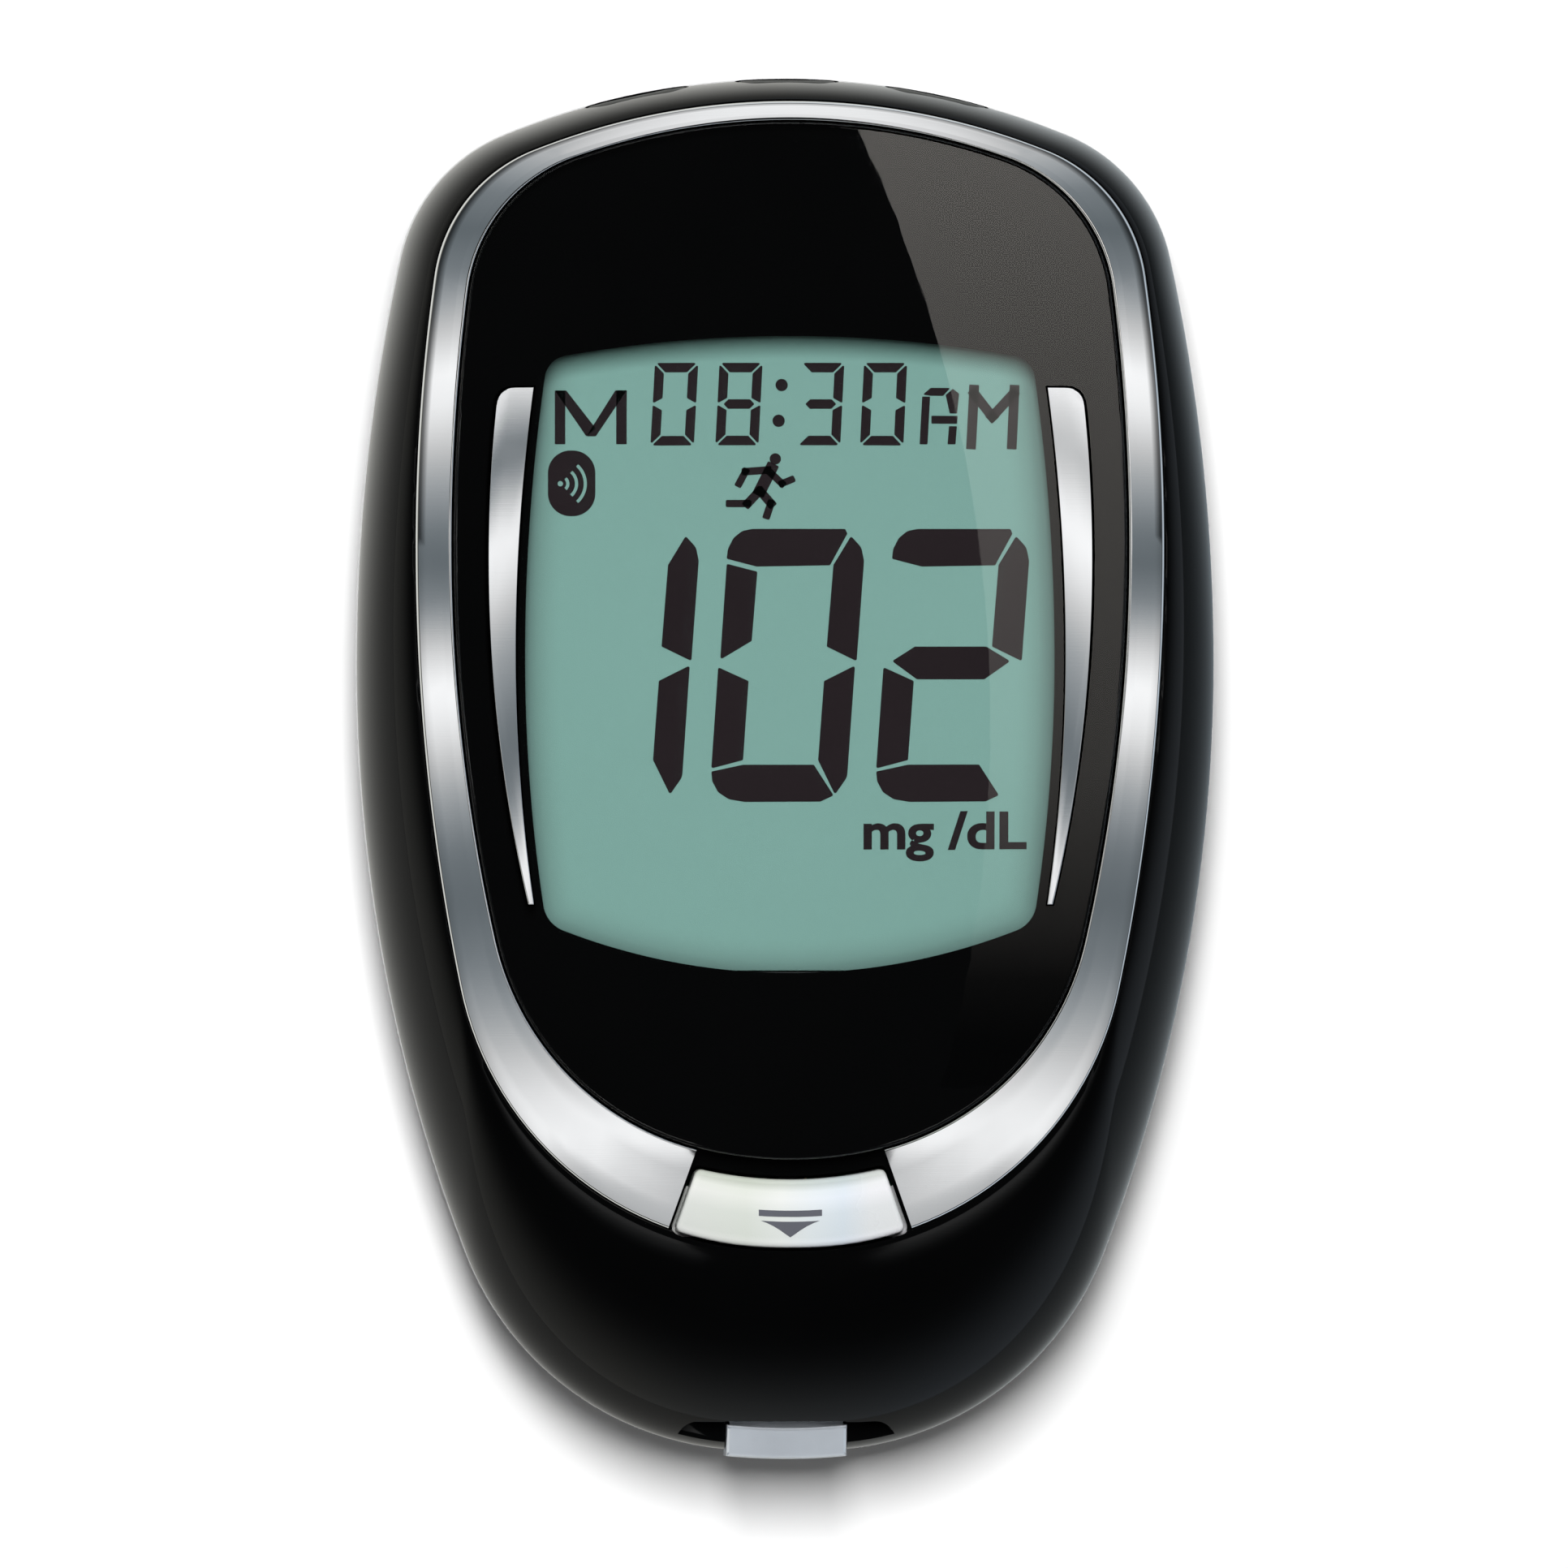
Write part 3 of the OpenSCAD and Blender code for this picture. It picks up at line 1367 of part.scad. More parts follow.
module key(x) {
    stem_y = crown_y(x, -key_stem_in);
    color("#2b2e32") {
        intersection() {
            key_bar(x, 0, crown_y(x, -key_flange_in) - over, top_y);
            plate(case_line, -key_recess, split_z, rim_z);
        }
        intersection() {
            key_bar(x, key_flange, stem_y - over, top_y);
            difference() {
                plate(case_line, -key_flange_in, split_z, rim_z);
                plate(case_line, -key_stem_in, split_z - over, rim_z + over);
            }
        }
        block(
            [x - key_stem_w / 2, stem_y - key_stem, key_z - key_stem_w / 2],
            [x + key_stem_w / 2, stem_y + key_flange_t / 2, key_z + key_stem_w / 2]
        );
    }
}

module key_back() {
    key(-key_pitch);
}

module key_select() {
    key(0);
}

module key_next() {
    key(key_pitch);
}

module key_switches() {
    color("#c9ccd0")
        for (x = key_places) {
            nub_y = crown_y(x, -key_stem_in) - key_stem - key_travel - seat;
            face_y = nub_y - nub_l;
            block(
                [x - switch_w / 2, face_y - switch_depth, board_top_z + seat],
                [x + switch_w / 2, face_y, board_top_z + switch_h]
            );
            translate([x, nub_y, key_z])
                rotate([90, 0, 0])
                    cylinder(d = nub_d, h = nub_l + switch_depth / 2);
        }
}

module battery_door() {
    low = [-door_half_x + run_gap, door_low_y + run_gap];
    high = [door_half_x - run_gap, hinge_y - run_gap];
    arm_y = bay_y + bay_half_y - run_gap;
    color("#1a1c1f")
    difference() {
        union() {
            rounded_block(low, high, door_corner_r - run_gap, 0, door_t);
            for (y = [-1, 1], x = [-1, 1])
                translate([x * cell_d / 4, bay_y + y * cell_shift, 0])
                    block(
                        [-door_rib_t / 2, -door_rib_l, door_t / 2],
                        [door_rib_t / 2, door_rib_l, door_t + door_rib_h]
                    );
            for (side = [-1, 1])
                translate([side * tab_x - tab_w / 2, 0, 0]) {
                    block([0, arm_y - tab_arm_t, door_t / 2], [tab_w, arm_y, tab_top_z]);
                    block([0, arm_y - tab_arm_t, tab_low_z], [tab_w, hinge_y - 3 * run_gap, tab_top_z]);
                }
        }
        for (i = [0 : groove_count - 1]) {
            groove_y = low.y + groove_pitch * (i + 1);
            block([-groove_l / 2, groove_y, -over], [groove_l / 2, groove_y + groove_w, groove_depth]);
        }
    }
}

module coin_cell(side) {
    place = [0, bay_y + side * cell_shift];
    color("#c4c7cb") {
        rod(place, cell_d, cell_z, cell_z + cell_t - cell_step);
        rod(place, cell_d - 2 * cell_rim, cell_z + cell_t / 2, cell_z + cell_t);
    }
}

module coin_cell_upper() {
    coin_cell(1);
}

module coin_cell_lower() {
    coin_cell(-1);
}

module cell_springs() {
    bump_t = leaf_room - 2 * (leaf_t + seat);
    color("#cbb37c")
        for (side = [-1, 1])
            translate([0, bay_y + side * cell_shift, 0]) {
                block([-spring_w / 2, -spring_l / 2, leaf_z], [spring_w / 2, spring_l / 2, leaf_z + leaf_t]);
                block([-tail_w / 2, -leaf_t / 2, leaf_z], [tail_w / 2, leaf_t / 2, board_z]);
                for (end = [-1, 1])
                    block(
                        [-bump_w / 2, end * bump_y - bump_w / 2, leaf_z - bump_t],
                        [bump_w / 2, end * bump_y + bump_w / 2, leaf_z + leaf_t / 2]
                    );
            }
}

module cell_side_contact() {
    outer_x = -bay_half_x + seat;
    half_l = cell_shift + bump_y + bump_w;
    low_z = cell_z + 2 * leaf_t;
    bump_top_z = cell_z + cell_t - cell_step - leaf_t;
    color("#cbb37c") {
        block([outer_x, bay_y - half_l, low_z], [outer_x + leaf_t, bay_y + half_l, leaf_z + leaf_t]);
        block([outer_x, bay_y - tail_w / 2, low_z], [outer_x + leaf_t, bay_y + tail_w / 2, board_z]);
        for (side = [-1, 1])
            block(
                [outer_x, bay_y + side * cell_shift - bump_w / 2, low_z + leaf_t],
                [-cell_d / 2 - seat, bay_y + side * cell_shift + bump_w / 2, bump_top_z]
            );
    }
}

module case_screws() {
    color("#9a9da1")
        for (place = case_screw_places)
            difference() {
                union() {
                    rod(place, screw_head_d, screw_sink, screw_sink + screw_head_h - seat);
                    rod(place, screw_d, screw_sink + screw_head_h / 2, board_top_z + screw_grip);
                }
                for (turn = [0, 90])
                    translate([place.x, place.y, screw_sink])
                        rotate([0, 0, turn])
                            block(
                                [-cross_w / 2, -slot_w / 2, -over],
                                [cross_w / 2, slot_w / 2, screw_head_h / 2]
                            );
            }
}

module board_screws() {
    head_z = board_z - seat - board_screw_head_h;
    tip_z = board_top_z + board_screw_grip;
    color("#9a9da1")
        for (place = board_screw_places)
            difference() {
                union() {
                    rod(place, board_screw_head_d, head_z, board_z - seat);
                    rod(place, board_screw_d, head_z + board_screw_head_h / 2, tip_z);
                }
                translate([place.x, place.y, head_z])
                    block(
                        [-board_screw_d / 2, -slot_w / 2, -over],
                        [board_screw_d / 2, slot_w / 2, board_screw_head_h / 2]
                    );
            }
}

module rating_label() {
    color("#9ea3a8")
        rounded_block(
            [-label_w / 2, label_y - label_length / 2], [label_w / 2, label_y + label_length / 2],
            label_r, seat / 2, seat / 2 + label_t
        );
}

back_cover();
front_cover();
trim_ring();
display_lens();
lens_mask();
accent_strip(-1);  // accent_strip_left
accent_strip(1);  // accent_strip_right
strip_release_button();
button_springs();
ejector_slider();
strip_port();
strip_connector();
strip_contacts();
lcd_front_glass();
lcd_rear_glass();
lcd_reflector();
lcd_holder();
lcd_gasket();
zebra_connector();
main_board();
processor_chip();
radio_module();
board_components();
buzzer();
key_back();
key_select();
key_next();
key_switches();
battery_door();
coin_cell_upper();
coin_cell_lower();
cell_springs();
cell_side_contact();
case_screws();
board_screws();
rating_label();
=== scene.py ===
"""Blood glucose meter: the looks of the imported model, laid out as a Blender add-on."""
import math

import bmesh
import bpy
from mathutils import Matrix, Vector
from mathutils.bvhtree import BVHTree
from mathutils.geometry import delaunay_2d_cdt


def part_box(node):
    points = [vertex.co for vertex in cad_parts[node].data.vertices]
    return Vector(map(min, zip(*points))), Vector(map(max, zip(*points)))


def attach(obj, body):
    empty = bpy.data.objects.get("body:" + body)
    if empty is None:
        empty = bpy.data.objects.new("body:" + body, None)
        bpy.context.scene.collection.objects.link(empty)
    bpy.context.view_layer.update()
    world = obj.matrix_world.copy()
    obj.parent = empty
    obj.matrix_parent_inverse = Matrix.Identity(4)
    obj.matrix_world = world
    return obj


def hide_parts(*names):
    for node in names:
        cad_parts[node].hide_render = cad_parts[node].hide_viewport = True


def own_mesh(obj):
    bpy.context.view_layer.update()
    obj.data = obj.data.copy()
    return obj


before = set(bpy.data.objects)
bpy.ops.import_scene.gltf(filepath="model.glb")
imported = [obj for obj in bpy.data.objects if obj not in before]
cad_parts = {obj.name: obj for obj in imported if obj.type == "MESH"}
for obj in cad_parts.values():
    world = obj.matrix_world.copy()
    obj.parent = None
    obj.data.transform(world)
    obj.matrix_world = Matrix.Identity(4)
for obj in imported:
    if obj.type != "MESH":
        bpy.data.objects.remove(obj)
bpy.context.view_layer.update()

bl_info = {
    "name": "Blood glucose meter",
    "version": (1, 0, 0),
    "blender": (4, 5, 0),
    "location": "View3D > Sidebar > Glucose Meter",
    "description": "Makes the dressed pieces of a pocket blood glucose meter over its packed solids",
    "category": "Object",
}

MM = 0.001

# ---------------------------------------------------------------- outlines
# Half width, height of the widest line, then [reach, crown, shoulder, flank] towards the head and the tail, in mm.
CASE = (27.2, 6.7, (37.0, 47.0, 11.0, 120.0), (50.0, 40.0, 19.5, 104.0))
FACE = (23.7, 14.0, (28.2, 43.7, 10.0, 123.0), (44.3, 40.0, 20.5, 138.0))
LENS = (21.4, 14.0, (26.95, 40.9, 10.2, 129.0), (38.8, 24.0, 17.6, 113.0))
WINDOW = (16.7, 7.0, (20.3, 82.0, 2.5, 127.0), (20.1, 39.5, 2.5, 107.0))
WINDOW_PRINT = (16.7, 7.0, (20.3, 82.0, 1.6, 127.0), (19.9, 39.5, 2.0, 107.0))
STEPS = (24, 30, 20)  # points along the flank, the shoulder and the crown

SEAM, DECK, RING_Z, LENS_Z = 8.0, 15.0, 16.15, 16.7  # heights: covers' seam, face pocket, ring's foot, lens's edge
WALL = 1.6  # thickness of the covers
FAN_Y, FAN_ANGLE = -7.4, 19.6  # where the button's two sides meet, and each side's angle from the middle line
DOME_END = 82.0  # angle at which the case's dome meets the face
DOME_ROWS = 44
FACE_TAIL = -30.3  # the face's end, where the button is lowest
RING_FALL = 0.6  # how much the ring climbs from the face's edge to the lens
ACCENT_WIDE_Y, ACCENT_RADIUS = 13.2, 94.0  # the circle along the outside of each accent
ACCENT_TILT = math.radians(8.0)
BUTTON_SLOPE = math.tan(math.radians(6.23))
PORT_FALL = 1.3  # how much the port's nose falls towards its tip
KEY_PLACES = (-9.5, 0.0, 9.5)
KEY_FACE = -0.14  # where the keys' faces lie from the case's head line
BAY_Y, CELL_PITCH = 4.5, 10.2  # middle of the battery bay, and each cell's distance from it
HOOK_X = 8.4  # the door's hinge tabs
SCREW_PLACES = ((-14.65, 32.6), (14.65, 32.6), (-11.45, -26.05), (11.45, -26.05))
SPRING_PLACES = ((-6.6, -28.0), (6.6, -28.0))
PRINT_LOW, PRINT_HIGH = 12.197, 12.212  # the readout, between the display's two glasses


def quarter(half_width, end, steps=STEPS):
    """The points of one corner from the widest line to the crown, each with its outward normal."""
    reach, crown, shoulder, flank = end
    a, b = half_width, reach
    shoulder = min(shoulder, 0.96 * (flank**2 - (flank - a) ** 2 - b**2) / (2 * (flank - b)))
    c1, c3 = Vector((0, b - crown)), Vector((a - flank, 0))
    d = (c3 - c1).length
    p, q = crown - shoulder, flank - shoulder
    k = (d * d + p * p - q * q) / (2 * d)
    h = math.sqrt(max(p * p - k * k, 0.0))
    u = (c3 - c1) / d
    c = c1 + u * k + Vector((u.y, -u.x)) * h
    flank_end = math.atan2(c.y, c.x - (a - flank))
    crown_start = math.atan2(c.y - (b - crown), c.x)
    arcs = (
        (c3, flank, 0.0, flank_end),
        (c, shoulder, flank_end, crown_start),
        (c1, crown, crown_start, math.pi / 2),
    )
    points = []
    for (centre, radius, start, stop), n in zip(arcs, steps):
        for i in range(n):
            t = start + (stop - start) * i / n
            points.append((centre, radius, t))
    points.append((c1, crown, math.pi / 2))
    return points


def outline(shape, grow=0.0, steps=STEPS):
    """A closed outline, counter-clockwise from the widest point on the right."""
    a, b, head, tail = shape

    def place(p, sx, sy):
        centre, radius, t = p
        r = radius + grow
        return Vector((sx * (centre.x + r * math.cos(t)), b + sy * (centre.y + r * math.sin(t))))

    up = quarter(a, head, steps)
    down = quarter(a, tail, steps)
    loop = [place(p, 1, 1) for p in up]
    loop += [place(p, -1, 1) for p in reversed(up[:-1])]
    loop += [place(p, -1, -1) for p in down[1:]]
    loop += [place(p, 1, -1) for p in reversed(down[1:-1])]
    return loop


def mixed(one, two, share):
    return [p + (q - p) * share for p, q in zip(one, two)]


def at(loop, z):
    return [Vector((p.x, p.y, z)) for p in loop]


def ellipse_loop(cx, cy, rx, ry, n=48):
    turns = [2 * math.pi * i / n for i in range(n)]
    return [Vector((cx + rx * math.cos(t), cy + ry * math.sin(t))) for t in turns]


def quarter_turn(steps):
    """Angles from 0 to 90 degrees."""
    return [math.pi / 2 * i / steps for i in range(steps + 1)]


def rounded(points, radius, steps=6):
    """A polygon with its corners rounded; radius is one number or one for each corner."""
    n = len(points)
    radii = radius if isinstance(radius, (list, tuple)) else [radius] * n
    loop = []
    for i, p in enumerate(points):
        p, r = Vector(p), radii[i]
        before, after = Vector(points[i - 1]) - p, Vector(points[(i + 1) % n]) - p
        if r <= 1e-6:
            loop.append(p)
            continue
        u, v = before.normalized(), after.normalized()
        half = math.acos(max(-1.0, min(1.0, u.dot(v)))) / 2
        reach = min(r / math.tan(half), before.length * 0.49, after.length * 0.49)
        r = reach * math.tan(half)
        centre = p + (u + v).normalized() * (r / math.sin(half))
        s, e = p + u * reach - centre, p + v * reach - centre
        a0, a1 = math.atan2(s.y, s.x), math.atan2(e.y, e.x)
        turn = (a1 - a0 + math.pi) % (2 * math.pi) - math.pi
        for j in range(steps + 1):
            a = a0 + turn * j / steps
            loop.append(centre + Vector((math.cos(a), math.sin(a))) * r)
    return loop


def box_loop(x0, y0, x1, y1, radius, steps=8):
    return rounded([(x0, y0), (x1, y0), (x1, y1), (x0, y1)], radius, steps)


# ---------------------------------------------------------------- mesh helpers
def linked(name, data):
    """A new object in the scene."""
    obj = bpy.data.objects.new(name, data)
    bpy.context.scene.collection.objects.link(obj)
    return obj


def plain(obj):
    """The mesh that an object has once its modifiers have run."""
    bpy.context.view_layer.update()
    return bpy.data.meshes.new_from_object(obj.evaluated_get(bpy.context.evaluated_depsgraph_get()))


def piece_from(name, verts, faces):
    mesh = bpy.data.meshes.new(name)
    mesh.from_pydata([tuple(Vector(v) * MM) for v in verts], [], faces)
    mesh.update()
    return linked(name, mesh)


def strips(rows, n, closed=False, span=None):
    """The faces between loops of n points; closed joins the last loop to the first, and span leaves the loops open."""
    faces = []
    for r in range(rows if closed else rows - 1):
        s = (r + 1) % rows
        faces += [(r * n + i, r * n + (i + 1) % n, s * n + (i + 1) % n, s * n + i) for i in range(span or n)]
    return faces


def skin(name, rows, ends=(True, True), closed=False):
    """A surface through loops of equal length; closed joins the last loop to the first."""
    n = len(rows[0])
    faces = strips(len(rows), n, closed)
    if not closed and ends[0]:
        faces.append(tuple(reversed(range(n))))
    if not closed and ends[1]:
        faces.append(tuple(range((len(rows) - 1) * n, len(rows) * n)))
    return piece_from(name, [v for row in rows for v in row], faces)


def outward(obj):
    bm = bmesh.new()
    bm.from_mesh(obj.data)
    bmesh.ops.remove_doubles(bm, verts=bm.verts, dist=1e-7)
    bmesh.ops.recalc_face_normals(bm, faces=bm.faces)
    bm.to_mesh(obj.data)
    bm.free()
    return obj


def smooth(obj, angle=30.0):
    """Smooth shading with sharp edges past an angle, where large flat faces keep their own normals."""
    obj.data.shade_smooth()
    obj.data.set_sharp_from_angle(angle=math.radians(angle))
    mod = obj.modifiers.new("even", "WEIGHTED_NORMAL")
    mod.mode, mod.weight, mod.keep_sharp = "FACE_AREA", 50, True
    done = plain(obj)
    obj.modifiers.clear()
    obj.data = done


def prism(name, loop, z0, z1, bevel=0.0, segments=3, both=True, top=None):
    """A plate between two heights with rounded edges; top(x, y) may lift its upper face."""
    inner = inset(loop, bevel) if bevel > 0 else loop
    turns = quarter_turn(segments)

    def lifted(points, z):
        return [Vector((p.x, p.y, z + (top(p.x, p.y) if top else 0.0))) for p in points]

    if bevel > 0 and both:
        rows = [at(mixed(inner, loop, math.sin(t)), z0 + bevel * (1 - math.cos(t))) for t in turns]
    else:
        rows = [at(loop, z0)]
    if bevel > 0:
        rows += [lifted(mixed(loop, inner, 1 - math.cos(t)), z1 - bevel * (1 - math.sin(t))) for t in turns]
    else:
        rows.append(lifted(loop, z1))
    return outward(skin(name, rows))


def inset(loop, amount):
    """The loop moved inwards by an amount, each point along its corner's bisector."""
    n = len(loop)
    moved = []
    for i, p in enumerate(loop):
        a, b = p - loop[i - 1], loop[(i + 1) % n] - p
        if a.length < 1e-9 or b.length < 1e-9:
            a = b = (b if a.length < 1e-9 else a)
        na, nb = Vector((-a.y, a.x)).normalized(), Vector((-b.y, b.x)).normalized()
        m = (na + nb)
        m = m / max(m.length_squared / 2, 0.35) if m.length > 1e-9 else na
        moved.append(p + m * amount)
    return moved


def filled(name, loops, z0, z1):
    """A flat plate with holes: the first loop is its outside and the others are holes."""
    points, edges = [], []
    for loop in loops:
        start = len(points)
        points += [Vector((p.x, p.y)) for p in loop]
        edges += [(start + i, start + (i + 1) % len(loop)) for i in range(len(loop))]
    out = delaunay_2d_cdt(points, edges, [], 2, 1e-7)
    flat, tris = out[0], out[2]

    def inside(c, loop):
        hit = False
        for i, p in enumerate(loop):
            q = loop[i - 1]
            if (p.y > c.y) != (q.y > c.y) and c.x < (q.x - p.x) * (c.y - p.y) / (q.y - p.y) + p.x:
                hit = not hit
        return hit

    keep = []
    for t in tris:
        c = sum((flat[i] for i in t), Vector((0, 0))) / len(t)
        if inside(c, loops[0]) and not any(inside(c, h) for h in loops[1:]):
            keep.append(t)
    n = len(flat)
    verts = [Vector((p.x, p.y, z0)) for p in flat] + [Vector((p.x, p.y, z1)) for p in flat]
    faces = [tuple(reversed(t)) for t in keep] + [tuple(i + n for i in t) for t in keep]
    count = {}
    for t in keep:
        for i in range(len(t)):
            e = (t[i], t[(i + 1) % len(t)])
            count[e] = count.get(e, 0) + 1
    for a, b in count:
        if (b, a) not in count:
            faces.append((a, b, b + n, a + n))
    return outward(piece_from(name, verts, faces))


def joined(name, objs):
    """Several meshes as one object."""
    verts, faces = [], []
    for o in objs:
        base = len(verts)
        verts += [v.co / MM for v in o.data.vertices]
        faces += [tuple(base + i for i in p.vertices) for p in o.data.polygons]
        bpy.data.objects.remove(o)
    return piece_from(name, verts, faces)


def boolean(obj, other, operation="DIFFERENCE"):
    """Cuts or joins one mesh with another, exactly, and keeps the result as a plain mesh."""
    mod = obj.modifiers.new("cut", "BOOLEAN")
    mod.operation, mod.solver, mod.object = operation, "EXACT", other
    done = plain(obj)
    obj.modifiers.clear()
    obj.data = done
    bpy.data.objects.remove(other)
    if not done.polygons:
        raise RuntimeError(f"{obj.name} came back empty")
    return obj


def keep_curves(obj, source, angle, near=2e-6):
    """Shades the faces left from the smooth mesh source as they were, so that a cut leaves no dent in the gloss."""
    tree = BVHTree.FromPolygons([v.co for v in source.vertices], [tuple(p.vertices) for p in source.polygons])
    normals = [Vector(n.vector) for n in source.corner_normals]
    smooth(obj, angle)
    mesh = obj.data
    corner = [Vector(n.vector) for n in mesh.corner_normals]
    wanted = []
    for poly in mesh.polygons:
        for k in poly.loop_indices:
            co = mesh.vertices[mesh.loops[k].vertex_index].co
            place, _, index, gap = tree.find_nearest(co)
            normal = corner[k]
            if place is not None and gap < near:
                n = Vector((0, 0, 0))
                for c in source.polygons[index].loop_indices:
                    away = (source.vertices[source.loops[c].vertex_index].co - co).length
                    n += normals[c] / max(away, 1e-9) ** 2
                n.normalize()
                if n.dot(poly.normal) > math.cos(math.radians(angle)):
                    normal = n
            wanted.append(normal)
    mesh.normals_split_custom_set(wanted)
    bpy.data.meshes.remove(source)


def dress(obj, body, finish, slot=None, *node_names):
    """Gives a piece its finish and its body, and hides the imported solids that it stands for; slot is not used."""
    obj.data.materials.clear()
    obj.data.materials.append(FINISH[finish])
    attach(obj, body)
    if node_names:
        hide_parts(*node_names)


# ---------------------------------------------------------------- node helpers
def node(tree, kind, inputs=None, **settings):
    """A node with its settings; each input takes a value or another node's output."""
    made = tree.nodes.new(kind)
    for key, value in settings.items():
        setattr(made, key, value)
    for key, value in (inputs or {}).items():
        if isinstance(value, bpy.types.NodeSocket):
            tree.links.new(value, made.inputs[key])
        else:
            made.inputs[key].default_value = value
    return made


def maths(tree, operation, *inputs):
    return node(tree, "ShaderNodeMath", dict(enumerate(inputs)), operation=operation).outputs[0]


def vector_maths(tree, operation, one, two):
    return node(tree, "ShaderNodeVectorMath", {0: one, 1: two}, operation=operation).outputs


def own_place(tree):
    """The piece's own coordinates, in metres."""
    return node(tree, "ShaderNodeTexCoord").outputs["Object"]


def noise(tree, place, detail, roughness, distortion=0.0):
    inputs = {"Vector": place, "Scale": 1.0, "Detail": detail, "Roughness": roughness, "Distortion": distortion}
    return node(tree, "ShaderNodeTexNoise", inputs).outputs["Fac"]


def scaled(tree, scale):
    return node(tree, "ShaderNodeVectorMath", {0: own_place(tree), "Scale": scale}, operation="SCALE").outputs[0]


def spanned(tree, value, lowest, highest):
    """A value brought from its span to 0 to 1."""
    return node(tree, "ShaderNodeMapRange", {"Value": value, "From Min": lowest, "From Max": highest}).outputs[0]


def blended(tree, factor, one, two, blend_type="MIX"):
    inputs = {"Factor": factor, 6: one, 7: two}
    return node(tree, "ShaderNodeMix", inputs, data_type="RGBA", blend_type=blend_type).outputs[2]


def mixed_shader(tree, factor, one, two):
    return node(tree, "ShaderNodeMixShader", {0: factor, 1: one, 2: two}).outputs[0]


def ramped(tree, value, stops):
    """A colour ramp over a value; each stop has its place and its colour."""
    made = node(tree, "ShaderNodeValToRGB", {0: value})
    elements = made.color_ramp.elements
    for element, (place, colour) in zip(elements, (stops[0], stops[-1])):
        element.position, element.color = place, (*colour, 1)
    for place, colour in stops[1:-1]:
        elements.new(place).color = (*colour, 1)
    return made.outputs[0]


def new_group(name, kind, inputs, outputs):
    """An empty node group, with the sockets of its input node."""
    tree = bpy.data.node_groups.new(name, kind)
    for side, sockets in (("INPUT", inputs), ("OUTPUT", outputs)):
        for label, sort, *start in sockets:
            socket = tree.interface.new_socket(name=label, in_out=side, socket_type="NodeSocket" + sort)
            if start:
                socket.default_value = start[0]
    return tree, tree.nodes.new("NodeGroupInput").outputs


# ---------------------------------------------------------------- shared effects
GROUPS = {}
FINISH = {}


def build_groups():
    """Grain, handling marks, hairline scratches and tone, shared by the finishes."""
    kind = "ShaderNodeTree"
    relief = [("Height", "Float")]

    inputs = [("Scale", "Float", 4000.0), ("Depth", "Float", 1.0)]
    tree, given = new_group("Moulded grain", kind, inputs, relief)
    place = scaled(tree, given["Scale"])
    fine = noise(tree, place, 3.0, 0.55)
    cells = node(tree, "ShaderNodeTexVoronoi", {"Vector": place, "Scale": 0.8}).outputs["Distance"]
    height = maths(tree, "MULTIPLY", maths(tree, "ADD", fine, cells), given["Depth"])
    node(tree, "NodeGroupOutput", {"Height": height})
    GROUPS["grain"] = tree

    inputs = [("Base", "Float", 0.1), ("Amount", "Float", 0.05), ("Scale", "Float", 60.0)]
    tree, given = new_group("Handling marks", kind, inputs, [("Roughness", "Float")])
    smear = spanned(tree, noise(tree, scaled(tree, given["Scale"]), 5.0, 0.6, 0.8), 0.42, 0.72)
    rough = maths(tree, "MULTIPLY_ADD", smear, given["Amount"], given["Base"])
    node(tree, "NodeGroupOutput", {"Roughness": rough})
    GROUPS["marks"] = tree

    inputs = [("Along X", "Float", 900.0), ("Along Y", "Float", 18000.0), ("Depth", "Float", 1.0)]
    tree, given = new_group("Hairlines", kind, inputs, relief)
    stretch = node(tree, "ShaderNodeCombineXYZ", {0: given["Along X"], 1: given["Along Y"], 2: given["Along X"]})
    lines = noise(tree, vector_maths(tree, "MULTIPLY", own_place(tree), stretch.outputs[0])[0], 4.0, 0.7)
    node(tree, "NodeGroupOutput", {"Height": maths(tree, "MULTIPLY", lines, given["Depth"])})
    GROUPS["hairlines"] = tree

    inputs = [("Colour", "Color", (0.5, 0.5, 0.5, 1)), ("Second", "Color", (0.4, 0.4, 0.4, 1)),
              ("Scale", "Float", 80.0)]
    tree, given = new_group("Tone", kind, inputs, [("Colour", "Color")])
    cloud = spanned(tree, noise(tree, scaled(tree, given["Scale"]), 4.0, 0.55), 0.35, 0.7)
    colour = blended(tree, cloud, given["Colour"], given["Second"])
    node(tree, "NodeGroupOutput", {"Colour": colour})
    GROUPS["tone"] = tree


def use_group(tree, name, **values):
    inputs = {key.replace("_", " "): value for key, value in values.items()}
    return node(tree, "ShaderNodeGroup", inputs, node_tree=GROUPS[name]).outputs[0]


def bare_material(name):
    """A material with an empty node tree."""
    mat = bpy.data.materials.new(name)
    mat.use_nodes = True
    mat.node_tree.nodes.clear()
    return mat, mat.node_tree


